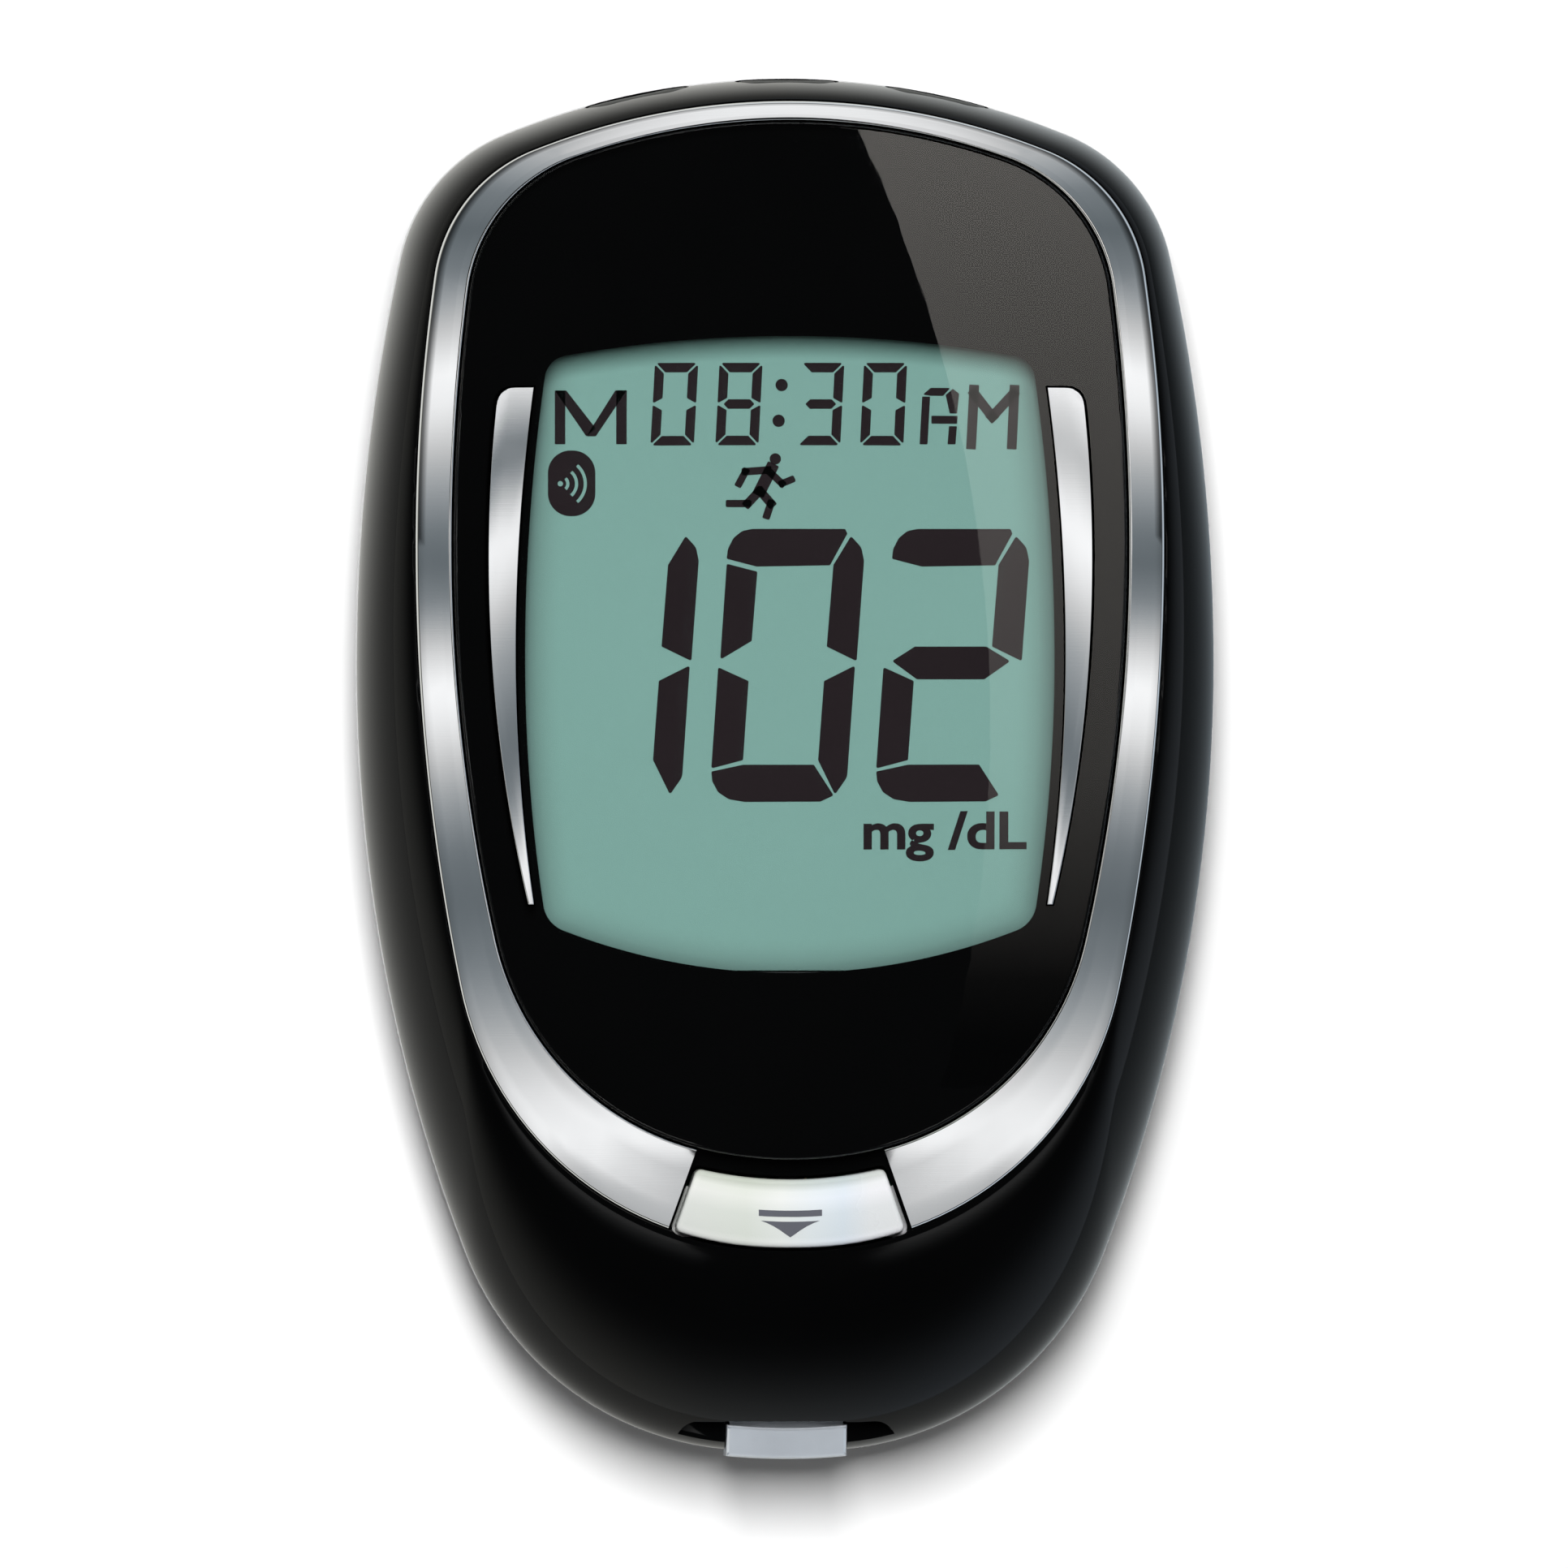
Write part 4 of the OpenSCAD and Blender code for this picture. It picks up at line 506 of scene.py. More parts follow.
def surface(name, colour, second=None, roughness=0.3, marks=0.05, marks_scale=60.0, metallic=0.0, specular=0.5,
            coat=0.0, coat_roughness=0.03, tone_scale=80.0, grain=None, hairlines=None, bump_distance=0.00002):
    """A finish with its tone, handling marks and fine relief; colours are linear."""
    mat, tree = bare_material(name)
    second = second or tuple(c * 0.82 for c in colour)
    inputs = {
        "Base Color": use_group(tree, "tone", Colour=(*colour, 1), Second=(*second, 1), Scale=tone_scale),
        "Roughness": use_group(tree, "marks", Base=roughness, Amount=marks, Scale=marks_scale),
        "Metallic": metallic,
        "Specular IOR Level": specular,
        "Coat Weight": coat,
        "Coat Roughness": coat_roughness,
    }
    heights = []
    if grain:
        heights.append(use_group(tree, "grain", Scale=grain[0], Depth=grain[1]))
    if hairlines:
        heights.append(use_group(tree, "hairlines", Along_X=hairlines[0], Along_Y=hairlines[1], Depth=hairlines[2]))
    if heights:
        height = maths(tree, "ADD", *heights) if len(heights) > 1 else heights[0]
        inputs["Normal"] = node(tree, "ShaderNodeBump", {"Distance": bump_distance, "Height": height}).outputs[0]
    bsdf = node(tree, "ShaderNodeBsdfPrincipled", inputs)
    node(tree, "ShaderNodeOutputMaterial", {0: bsdf.outputs[0]})
    return mat


def clear_glass(name, colour=(1, 1, 1), roughness=0.0, ior=1.49):
    """Glass whose shadow rays pass through, so that what lies under it is lit as in air."""
    mat, tree = bare_material(name)
    marks = use_group(tree, "marks", Base=roughness, Amount=0.02, Scale=70.0)
    inputs = {"Base Color": (*colour, 1), "Transmission Weight": 1.0, "IOR": ior, "Roughness": marks}
    bsdf = node(tree, "ShaderNodeBsdfPrincipled", inputs)
    clear = node(tree, "ShaderNodeBsdfTransparent")
    light = node(tree, "ShaderNodeLightPath").outputs
    either = maths(tree, "MAXIMUM", light["Is Shadow Ray"], light["Is Diffuse Ray"])
    both = mixed_shader(tree, either, bsdf.outputs[0], clear.outputs[0])
    node(tree, "ShaderNodeOutputMaterial", {0: both})
    return mat


def edge_distance(tree):
    """Distance in metres from the window's edge, inwards, from the arcs that bound its sides and its tail; it sets
    where painted shade darkens the display.
    """
    a, b, head, tail = WINDOW
    flat = vector_maths(tree, "MULTIPLY", own_place(tree), (1, 1, 0))[0]
    least = None
    for x, y, radius in ((a - head[3], b, head[3]), (head[3] - a, b, head[3]), (0, b - tail[0] + tail[1], tail[1])):
        away = vector_maths(tree, "DISTANCE", flat, (x * MM, y * MM, 0))["Value"]
        left = maths(tree, "SUBTRACT", radius * MM, away)
        least = left if least is None else maths(tree, "SMOOTH_MIN", least, left, 0.0012)
    return least


def paint_light_and_shade(mat, source, stops, lowest, highest):
    """Paints light or shade into a finish's colour: multiplies it by a ramp of a value that changes over the surface.
    """
    tree = mat.node_tree
    base = next(n for n in tree.nodes if n.type == "BSDF_PRINCIPLED").inputs["Base Color"]
    colour = base.links[0].from_socket
    ramp = ramped(tree, spanned(tree, source, lowest, highest), stops)
    tree.links.new(blended(tree, 1.0, colour, ramp, "MULTIPLY"), base)


def button_painted_shade_and_highlight(mat):
    """Painted light on the button: a painted dim band of shade along the lens, a painted bright crescent of highlight
    below it, then a tint from green on the left to blue on the right.
    """
    tree = mat.node_tree
    middle = (0, (LENS[1] - LENS[3][0] + 21.0) * MM, 0.0165)
    away = vector_maths(tree, "DISTANCE", own_place(tree), middle)["Value"]
    # painted shade and highlight: dim along the lens's edge, then a bright crescent, by distance from a point beyond
    # the lens
    paint_light_and_shade(mat, away, (
        (0.0, (0.6, 0.62, 0.58)), (0.1, (0.68, 0.71, 0.66)), (0.2, (0.98, 0.99, 0.97)), (0.3, (1, 1, 1)),
        (0.52, (0.84, 0.86, 0.85)), (0.8, (0.8, 0.82, 0.81)), (0.93, (0.9, 0.9, 0.91)), (1.0, (0.92, 0.9, 0.92)),
    ), 22.0 * MM, 26.8 * MM)
    # a tint from green on the left to blue on the right, lightest in the middle
    across = node(tree, "ShaderNodeSeparateXYZ", {0: own_place(tree)}).outputs["X"]
    paint_light_and_shade(mat, across, (
        (0.0, (0.9, 0.9, 0.87)), (0.3, (0.88, 0.9, 0.84)), (0.46, (0.97, 0.98, 0.96)), (0.6, (0.92, 0.96, 1)),
        (0.74, (0.86, 0.92, 1)), (0.86, (0.95, 0.95, 0.98)), (1.0, (0.96, 0.95, 0.97)),
    ), -7 * MM, 7 * MM)


def build_finishes():
    look = bpy.context.scene.meter_look

    def add(name, colour, **values):
        FINISH[name] = surface(name, tuple(colour), **values)

    def near(colour, share):
        return tuple(c * share for c in colour)

    trim, pearl, ground, segment = look.trim_colour, look.button_colour, look.display_colour, look.segment_colour
    add("gloss_black", look.case_colour, roughness=0.05, marks_scale=45.0, specular=0.23,
        hairlines=(500.0, 9000.0, 0.12), bump_distance=0.000004)
    add("base_black", (0.012, 0.012, 0.013), roughness=0.42, marks=0.1, grain=(5200.0, 1.0), bump_distance=0.00003)
    add("inner_black", (0.02, 0.02, 0.021), roughness=0.5, marks=0.1, grain=(3800.0, 1.0), bump_distance=0.00003)
    add("chrome", trim, second=near(trim, 0.97), roughness=0.035, marks=0.03, metallic=1.0,
        hairlines=(250.0, 16000.0, 0.3), bump_distance=0.0000003)
    add("mask_black", (0.0012, 0.0013, 0.0014), roughness=0.6, marks=0.1, specular=0.0, grain=(3000.0, 0.5))
    FINISH["lens"] = clear_glass("lens")
    add("pearl", pearl, second=near(pearl, 0.96), roughness=0.24, coat=0.5, coat_roughness=0.06,
        grain=(9000.0, 0.25), bump_distance=0.00001)
    # painted shade and highlight on the button, over its pearl colour
    button_painted_shade_and_highlight(FINISH["pearl"])
    add("silver", (0.83, 0.88, 0.95), marks=0.08, metallic=0.6, hairlines=(900.0, 15000.0, 0.5),
        grain=(9000.0, 0.4), bump_distance=0.00001)
    FINISH["lcd_glass"] = clear_glass("lcd_glass", (0.97, 1.0, 0.99), 0.02, 1.5)
    add("lcd_back", ground, second=near(ground, 0.97), roughness=0.6, specular=0.0, grain=(24000.0, 0.6),
        bump_distance=0.00001, tone_scale=40.0)
    # painted shade: the display's ground darkens towards the window's sides and tail, where the mask's shadow falls
    paint_light_and_shade(FINISH["lcd_back"], edge_distance(FINISH["lcd_back"].node_tree), (
        (0.0, (0.45, 0.42, 0.42)), (0.2, (0.6, 0.57, 0.58)), (0.45, (0.82, 0.8, 0.8)),
        (0.75, (0.95, 0.94, 0.94)), (1.0, (1, 1, 1)),
    ), -0.1 * MM, 2.3 * MM)
    add("segment", segment, second=near(segment, 1.15), roughness=0.5, specular=0.0)
    add("icon_grey", (0.13, 0.135, 0.16), roughness=0.4)
    add("steel", (0.56, 0.56, 0.57), roughness=0.24, marks=0.12, metallic=1.0, hairlines=(2500.0, 9000.0, 0.6),
        bump_distance=0.00001)
    add("gold", (0.78, 0.55, 0.2), roughness=0.22, marks=0.1, metallic=1.0, hairlines=(8000.0, 2500.0, 0.4),
        bump_distance=0.000008)
    add("board", (0.012, 0.085, 0.035), second=(0.01, 0.065, 0.028), roughness=0.32, marks=0.1,
        grain=(2600.0, 0.6), coat=0.25)
    add("chip", (0.02, 0.02, 0.022), roughness=0.55, marks=0.1, grain=(7000.0, 0.8))
    add("tan", (0.32, 0.24, 0.15), roughness=0.45, grain=(6000.0, 0.6))
    add("rubber", (0.035, 0.036, 0.038), roughness=0.6, marks=0.12, grain=(6500.0, 1.0), bump_distance=0.00003)
    add("key_rubber", (0.07, 0.072, 0.068), roughness=0.42, marks=0.1, grain=(7500.0, 0.7))
    add("foam", (0.03, 0.03, 0.032), roughness=0.85, grain=(2500.0, 1.0), bump_distance=0.00006)
    add("reflector", (0.6, 0.62, 0.6), metallic=0.7, hairlines=(2500.0, 9000.0, 0.4))
    add("label", (0.42, 0.43, 0.44), second=(0.38, 0.39, 0.4), roughness=0.5, marks=0.1, grain=(9000.0, 0.4))


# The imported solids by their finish.
NODE_FINISH = {
    "base_black": ("back_cover", "battery_door"),
    "board": ("main_board",),
    "chip": ("strip_connector", "processor_chip", "buzzer"),
    "chrome": ("trim_ring", "accent_strip_left", "accent_strip_right"),
    "foam": ("lcd_gasket",),
    "gloss_black": ("front_cover",),
    "gold": ("strip_contacts",),
    "inner_black": ("ejector_slider", "lcd_holder"),
    "key_rubber": ("key_back", "key_select", "key_next"),
    "label": ("rating_label",),
    "lcd_back": ("lcd_rear_glass",),
    "lcd_glass": ("lcd_front_glass",),
    "lens": ("display_lens",),
    "mask_black": ("lens_mask",),
    "pearl": ("strip_release_button",),
    "reflector": ("lcd_reflector",),
    "rubber": ("zebra_connector",),
    "silver": ("strip_port",),
    "steel": ("button_springs", "radio_module", "key_switches", "coin_cell_upper", "coin_cell_lower", "cell_springs",
              "cell_side_contact", "case_screws", "board_screws"),
    "tan": ("board_components",),
}


# ---------------------------------------------------------------- settings
def look_colour(name, description, default):
    return bpy.props.FloatVectorProperty(name=name, description=description, subtype="COLOR", default=default,
                                         min=0, max=1)


class MeterLook(bpy.types.PropertyGroup):
    """Colours of the meter."""

    case_colour: look_colour("Case colour", "Gloss black of the two covers", (0.0014, 0.0015, 0.0016))
    trim_colour: look_colour("Trim colour", "Plated ring and accent strips", (0.9, 0.91, 0.92))
    button_colour: look_colour("Button colour", "Pearl white of the strip release button", (0.93, 0.94, 0.94))
    display_colour: look_colour("Display colour", "Grey-green ground of the display", (0.216, 0.392, 0.353))
    segment_colour: look_colour("Segment colour", "Dark segments of the readout", (0.018, 0.013, 0.015))


class MeterSizes(bpy.types.PropertyGroup):
    """Sizes of the dressed pieces, and the camera's place."""

    lens_rise: bpy.props.FloatProperty(
        name="Lens rise", description="Height of the lens's middle over its edge", default=0.0008, unit="LENGTH", min=0)
    edge_round: bpy.props.FloatProperty(
        name="Edge rounding", description="Rounding of the plated edges", default=0.0002, unit="LENGTH", min=0)
    camera_turn: bpy.props.FloatProperty(
        name="Camera turn", description="Turn of the camera to the left of straight above",
        default=math.radians(2.4), subtype="ANGLE", unit="ROTATION")
    camera_range: bpy.props.FloatProperty(
        name="Camera range", description="Distance from the camera to the case's widest line",
        default=3.0, unit="LENGTH", min=0.3)


# ---------------------------------------------------------------- pieces
def fan_sides(margin=0.0):
    """Unit direction of the button's right side and its start, moved outwards by a margin."""
    t = math.radians(FAN_ANGLE)
    along = Vector((math.sin(t), -math.cos(t)))
    out = Vector((math.cos(t), math.sin(t)))
    return Vector((0, FAN_Y)) + out * margin, along


def crossing(loop, start, along):
    """Where a ray leaves a closed outline."""
    best = None
    for i, q in enumerate(loop):
        p = loop[i - 1]
        e = q - p
        den = along.x * e.y - along.y * e.x
        if abs(den) < 1e-12:
            continue
        w = p - start
        t = (w.x * e.y - w.y * e.x) / den
        s = (w.x * along.y - w.y * along.x) / den
        if t > 1e-6 and -1e-9 <= s <= 1 + 1e-9 and (best is None or t > best):
            best = t
    return start + along * best


def soft_corners(points, which, radius, steps=7):
    """Rounds the named corners of a polygon by walking the radius along its edges."""
    n = len(points)

    def walk(i, step, length):
        p, j = points[i], i
        while True:
            q = points[(j + step) % n]
            d = (q - p).length
            if d >= length:
                return p + (q - p) * (length / d), (j + step) % n
            length -= d
            p, j = q, j + step

    skip, arcs = set(), {}
    for i in which:
        u = (points[(i - 1) % n] - points[i]).normalized()
        v = (points[(i + 1) % n] - points[i]).normalized()
        half = math.acos(max(-1, min(1, u.dot(v)))) / 2
        reach = radius / math.tan(half)
        s, js = walk(i, -1, reach)
        e, je = walk(i, 1, reach)
        arcs[i] = (s, points[i], e)
        j = (js + 1) % n
        while j != je:
            skip.add(j)
            j = (j + 1) % n
    loop = []
    for i in range(n):
        if i in arcs:
            s, c, e = arcs[i]
            for k in range(steps + 1):
                t = k / steps
                p = s * (1 - t) ** 2 + e * t**2 + c * (2 * t * (1 - t))
                loop.append(p)
        elif i not in skip:
            loop.append(points[i])
    return loop


def button_outline(margin=0.0, radius=0.5):
    """The release button's plan: between the lens and the face's edge, its sides along the fan."""
    inner = outline(LENS, 1.15 - margin)
    outer = outline(FACE, margin - 0.02)
    start, along = fan_sides(-0.4 + margin)
    a, b = crossing(inner, start, along), crossing(outer, start, along)
    low = sorted([p for p in outer if abs(p.x) < b.x - 0.02 and p.y < -20], key=lambda p: p.x)
    high = sorted([p for p in inner if abs(p.x) < a.x - 0.02 and p.y < -10], key=lambda p: -p.x)
    points = [Vector((-b.x, b.y))] + low + [b, a] + high + [Vector((-a.x, a.y))]
    return soft_corners(points, {0, len(low) + 1, len(low) + 2, len(points) - 1}, radius)


def dome(low, high, height, steps):
    """Loops from the covers' seam up to the face, between a wide outline and a narrow one."""
    end = math.radians(DOME_END)
    rows = []
    for i in range(steps + 1):
        a = end * i / steps
        share = (1 - math.cos(a)) / (1 - math.cos(end))
        rows.append(at(mixed(low, high, share), max(SEAM + 0.05, SEAM + height * math.sin(a) / math.sin(end))))
    return rows


def make_front_cover():
    face, edge, window = outline(FACE, 0.08), outline(FACE, 0.02), outline(WINDOW, 0.8)
    rows = dome(outline(CASE), face, 8, DOME_ROWS)
    rows += [at(mixed(face, edge, 0.6), 15.985), at(edge, 15.94)]
    rows += [at(edge, DECK), at(window, DECK), at(window, 13.6)]
    rows += reversed(dome(outline(CASE, -WALL), outline(FACE, -1.5), 5.6, DOME_ROWS // 2))
    shell = outward(skin("front_cover_shell", rows, closed=True))
    smooth(shell, 32)
    before = shell.data.copy()
    boolean(shell, prism("well", button_outline(0.2, 0.6), 12.5, 18.0))
    boolean(shell, scoop_cutter())
    for x in KEY_PLACES:
        boolean(shell, key_hole(x, 0.09))
    keep_curves(shell, before, 32)
    dress(shell, "case", "gloss_black", "front_shell", "front_cover")


def nose_line(grow):
    return [p for p in outline(CASE, grow, (60, 90, 60)) if p.y < -38 and abs(p.x) < 9]


def nose_plan(margin, front, rear=-1.6):
    """The strip port's plan: its front follows the case's outline, its rear the same outline further in."""
    half = 3.8 + margin
    a = sorted([p for p in nose_line(front) if abs(p.x) < half], key=lambda p: p.x)
    b = sorted([p for p in nose_line(rear) if abs(p.x) < half], key=lambda p: -p.x)

    def end(points, x):
        p, q = (points[0], points[1]) if abs(points[0].x - x) < abs(points[-1].x - x) else (points[-1], points[-2])
        t = (x - p.x) / (q.x - p.x)
        return p + (q - p) * t

    return [end(a, -half)] + a + [end(a, half), end(b, half)] + b + [end(b, -half)]


def scoop_cutter():
    """The finger scoops beside the nose and the room around the nose itself."""
    plan = rounded([(-7.0, -50.0), (7.0, -50.0), (7.0, -41.3), (-7.0, -41.3)], [0, 0, 1.4, 1.4], 10)
    ledge = prism("scoop", plan, 10.0, 20.0)
    nose = prism("nose_room", nose_plan(0.08, 6.0, -1.68), 4.0, 12.4)
    return boolean(ledge, nose, "UNION")


def key_hole(x, grow):
    """The room of one key through the case's head end."""
    loop = box_loop(x - 3.2 - grow, 11 - 1.5 - grow, x + 3.2 + grow, 11 + 1.5 + grow, 1.5 + grow - 0.01, 10)
    return outward(skin("key_hole", [[Vector((p.x, y, p.y)) for p in loop] for y in (34.0, 46.0)]))


def make_back_cover():
    turns = 40
    rows = [at(outline(CASE, -6 * (1 - math.cos(a))), SEAM * (1 - math.sin(a))) for a in quarter_turn(turns)]
    for a in reversed(quarter_turn(turns // 2)):
        rows.append(at(outline(CASE, -WALL - 5.4 * (1 - math.cos(a))), WALL + 6.4 * (1 - math.sin(a))))
    n, split = len(rows[0]), turns + 1
    sides = strips(len(rows), n, closed=True)
    floors = [tuple(row * n + i for i in range(n)) for row in (split - 1, split)]
    faces = sides[:(split - 1) * n] + sides[split * n:-n] + floors + [face[::-1] for face in sides[-n:]]
    shell = outward(piece_from("back_cover_shell", [v for row in rows for v in row], faces))
    smooth(shell, 32)
    before = shell.data.copy()
    boolean(shell, prism("bay_walls", box_loop(-11.6, -17.3, 11.6, 26.3, 1.0), 1.2, 6.6), "UNION")
    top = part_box("battery_door")[1].z / MM
    rooms = [
        (box_loop(-12.1, -17.8, 12.1, 26.8, 2.5), -1.0, 1.45),  # door
        (box_loop(-10.4, -16.1, 10.4, 25.1, 1.2), 0.8, 5.85),  # cells
        *((box_loop(x - 1.5, 23.5, x + 1.5, 28.0, 0.05), top - 1.32, top + 0.4) for x in (-HOOK_X, HOOK_X)),
        (box_loop(-5.5, -21.8, 5.5, -17.0, 1.5), -1.0, 0.8),  # finger grip
        (box_loop(-7.6, -33.15, 7.6, -25.95, 0.9), -1.0, 0.15),  # label
        *((ellipse_loop(x, y, 2.1, 2.1, 40), -1.0, 1.86) for x, y in SCREW_PLACES),
        (nose_plan(0.08, 6.0, -1.68), 5.12, 12.4),  # strip port
    ]
    for loop, low, high in rooms:
        boolean(shell, prism("room", loop, low, high))
    keep_curves(shell, before, 32)
    dress(shell, "case", "gloss_black", "back_shell", "back_cover")


def ring_rows():
    """The ring's section from the face's edge up to the lens, its rounded edges even all round."""
    outer, inner = outline(FACE), outline(LENS)
    r = bpy.context.scene.meter_sizes.edge_round / MM
    turns = quarter_turn(6)

    def row(reach, drop, share=0.0):
        line = []
        for a, b in zip(outer, inner):
            part = share + reach / (b - a).length
            line.append(Vector((*(a + (b - a) * part), RING_Z + RING_FALL * part - drop)))
        return line

    rows = [at(outer, DECK)] + [row(r * (1 - math.cos(t)), r * (1 - math.sin(t))) for t in turns]
    rows += [row(0.0, 0.0, share) for share in (0.3, 0.5, 0.7)]
    return rows + [row(-r * (1 - math.sin(t)), r * (1 - math.cos(t)), 1.0) for t in turns] + [at(inner, DECK)]


def ring_normals():
    """Middle line and upward normals of the ring's sloping band."""
    outer, inner = outline(FACE), outline(LENS)
    mid = mixed(outer, inner, 0.5)
    normals = []
    for i, (a, b) in enumerate(zip(outer, inner)):
        along = (mid[(i + 1) % len(mid)] - mid[i - 1]).to_3d()
        n = along.cross(Vector((*(b - a), RING_FALL))).normalized()
        normals.append(n if n.z > 0 else -n)
    return mid, normals


def make_ring():
    ring = outward(skin("trim_ring_band", ring_rows(), closed=True))
    smooth(ring, 40)
    before = ring.data.copy()
    start, along = fan_sides(0.0)
    far = along * 60
    wedge = [Vector((0, FAN_Y)), start + Vector((-far.x, far.y)), start + far]
    boolean(ring, prism("fan_cut", wedge, 12.0, 20.0))
    keep_curves(ring, before, 40)
    dress(ring, "case", "chrome", "trim_chrome", "trim_ring")


WINDOW_SIDE = sorted([p for p in outline(WINDOW, 0.65, (60, 10, 10)) if p.x > 0], key=lambda p: p.y)


def accent_ridge(y):
    """How far out the window's side lies at a height, with the accent's gap added."""
    for p, q in zip(WINDOW_SIDE, WINDOW_SIDE[1:]):
        if p.y <= y <= q.y and q.y > p.y:
            return p.x + (q.x - p.x) * (y - p.y) / (q.y - p.y)
    return 17.0


def accent_arc(y, reach):
    """How far out the accents' outer circle lies at a height."""
    return reach - ACCENT_RADIUS + math.sqrt(ACCENT_RADIUS**2 - (y - ACCENT_WIDE_Y) ** 2)


def accent_plan(side, grow=0.0):
    """A crescent beside the window: its outside on a circle, its inside along the window's side."""
    top, bottom, reach, n = 24.1, -8.6, 19.15, 60
    ys = [bottom - grow + (top - bottom + 2 * grow) * i / n for i in range(n + 1)]
    points = [Vector((accent_arc(y, reach) + grow, y)) for y in ys]
    points += [Vector((min(accent_ridge(y), accent_arc(y, reach) - 0.3) - grow, y)) for y in reversed(ys)]
    points = soft_corners(points, {n}, 1.3 + grow)
    return [Vector((side * p.x, p.y)) for p in (points if side > 0 else reversed(points))]


def make_accents():
    """The two strips lean outwards, and their flat tops all share one normal."""
    for side, name in ((-1, "accent_strip_left"), (1, "accent_strip_right")):

        def lean(x, y, side=side):
            return -max(0.0, side * x - accent_ridge(y)) * math.tan(ACCENT_TILT)

        strip = prism(name + "_blade", accent_plan(side), 15.15, 16.93, bevel=0.09, segments=4, both=False, top=lean)
        smooth(strip, 30)
        corner = [Vector(n.vector) for n in strip.data.corner_normals]
        for face in strip.data.polygons:
            if face.normal.z > 0.96:
                for k in face.loop_indices:
                    corner[k] = tilted(Vector((side, 0)), ACCENT_TILT)
        strip.data.normals_split_custom_set(corner)
        dress(strip, "case", "chrome", "accent_chrome", name)


def make_lens():
    """The lens, domed about the window's middle, with slots for the accents and a dark edge."""
    loop, inner = outline(LENS, -0.08), outline(LENS, -0.28)
    middle = LENS[1]
    rows = [at(loop, 15.15)]
    rows += [at(mixed(loop, inner, 1 - math.cos(t)), 16.5 + 0.2 * math.sin(t)) for t in quarter_turn(4)]
    rise = bpy.context.scene.meter_sizes.lens_rise / MM
    for share in [0.997, 0.99, 0.98] + [1 - i / 30 for i in range(1, 30)]:
        height = LENS_Z + rise * (1 - share**2)
        rows.append([Vector((p.x * share, middle + (p.y - middle) * share, height)) for p in inner])
    m = len(loop)
    verts = [v for row in rows for v in row] + [Vector((0, middle, LENS_Z + rise))]
    faces = strips(len(rows), m)
    top = (len(rows) - 1) * m
    faces += [(top + i, top + (i + 1) % m, len(verts) - 1) for i in range(m)]
    faces.append(tuple(reversed(range(m))))
    lens = outward(piece_from("display_lens_dome", verts, faces))
    smooth(lens, 30)
    before = lens.data.copy()
    for side in (-1, 1):
        boolean(lens, prism("slot", accent_plan(side, 0.08), 14.0, 18.0))
    keep_curves(lens, before, 30)
    dress(lens, "case", "lens", "lens_glass", "display_lens")
    lens.data.materials.append(FINISH["mask_black"])
    for face in lens.data.polygons:
        if abs(face.normal.z) < 0.3:
            face.material_index = 1


def make_mask():
    mask = filled("lens_mask_print", [outline(LENS, -0.08), outline(WINDOW_PRINT)], 15.01, 15.13)
    smooth(mask, 30)
    dress(mask, "case", "mask_black", "mask_black", "lens_mask")


def make_button():
    """The button's cap on its flange, with room for the ejector's web, and the eject mark."""

    def rise(x, y):
        return (y - FACE_TAIL) * BUTTON_SLOPE

    cap = prism("strip_release_button_cap", button_outline(), 13.3, 16.25, bevel=0.35, segments=6, both=False, top=rise)
    boolean(cap, prism("flange", box_loop(-8.4, -29.6, 8.4, -26.4, 0.4), 12.45, 13.35), "UNION")
    boolean(cap, prism("web_room", box_loop(-0.8, -30.88, 0.8, -25.12, 0.05), 12.0, 14.43))
    smooth(cap, 35)
    dress(cap, "release_button", "pearl", "button_pearl", "strip_release_button")
    sag = 0.07
    line = [Vector((-2.0 + 4.0 * i / 14, -27.86 - sag * (1 - (1 - i / 7) ** 2))) for i in range(15)]
    bar = line + [p - Vector((0, 0.4)) for p in reversed(line)]
    right = ((1.87, -28.56), (1.5, -28.7), (1.05, -28.92), (0.6, -29.2), (0.25, -29.45), (0.0, -29.62))
    arrow = [Vector((-1.87 + 3.74 * i / 12, -28.56 - sag * (1 - (1 - i / 6) ** 2))) for i in range(12)]
    arrow += [Vector(p) for p in right] + [Vector((-x, y)) for x, y in reversed(right[1:-1])]
    icons = [prism(f"mark_{k}", shape[::-1], 16.23, 16.265, top=rise) for k, shape in enumerate((bar, arrow))]
    dress(outward(joined("release_mark", icons)), "release_button", "icon_grey")


def make_port():
    """The port's nose and its stem, with the strip's slot and its wider mouth."""
    plan = nose_plan(0.0, 0.4)
    tip, rear = min(p.y for p in plan), max(p.y for p in plan)

    def fall(x, y):
        return -(rear - y) / (rear - tip) * PORT_FALL

    nose = prism("strip_port_nose", plan, 5.2, 11.5, bevel=0.22, segments=4, top=fall)
    boolean(nose, prism("stem", box_loop(-3.6, rear - 0.6, 3.6, -39.2, 0.2), 5.6, 10.05), "UNION")
    boolean(nose, prism("slot", box_loop(-3.2, -60, 3.2, -30, 0.05), 8.5, 9.25))
    boolean(nose, prism("mouth", box_loop(-3.4, -60, 3.4, tip + 1.1, 0.05), 8.15, 9.65))
    smooth(nose, 35)
    dress(nose, "case", "silver", "port_silver", "strip_port")


def crown_line(x, grow):
    """The case's head line at a distance from the middle."""
    return CASE[1] + CASE[2][0] - CASE[2][1] + math.sqrt((CASE[2][1] + grow) ** 2 - x * x)


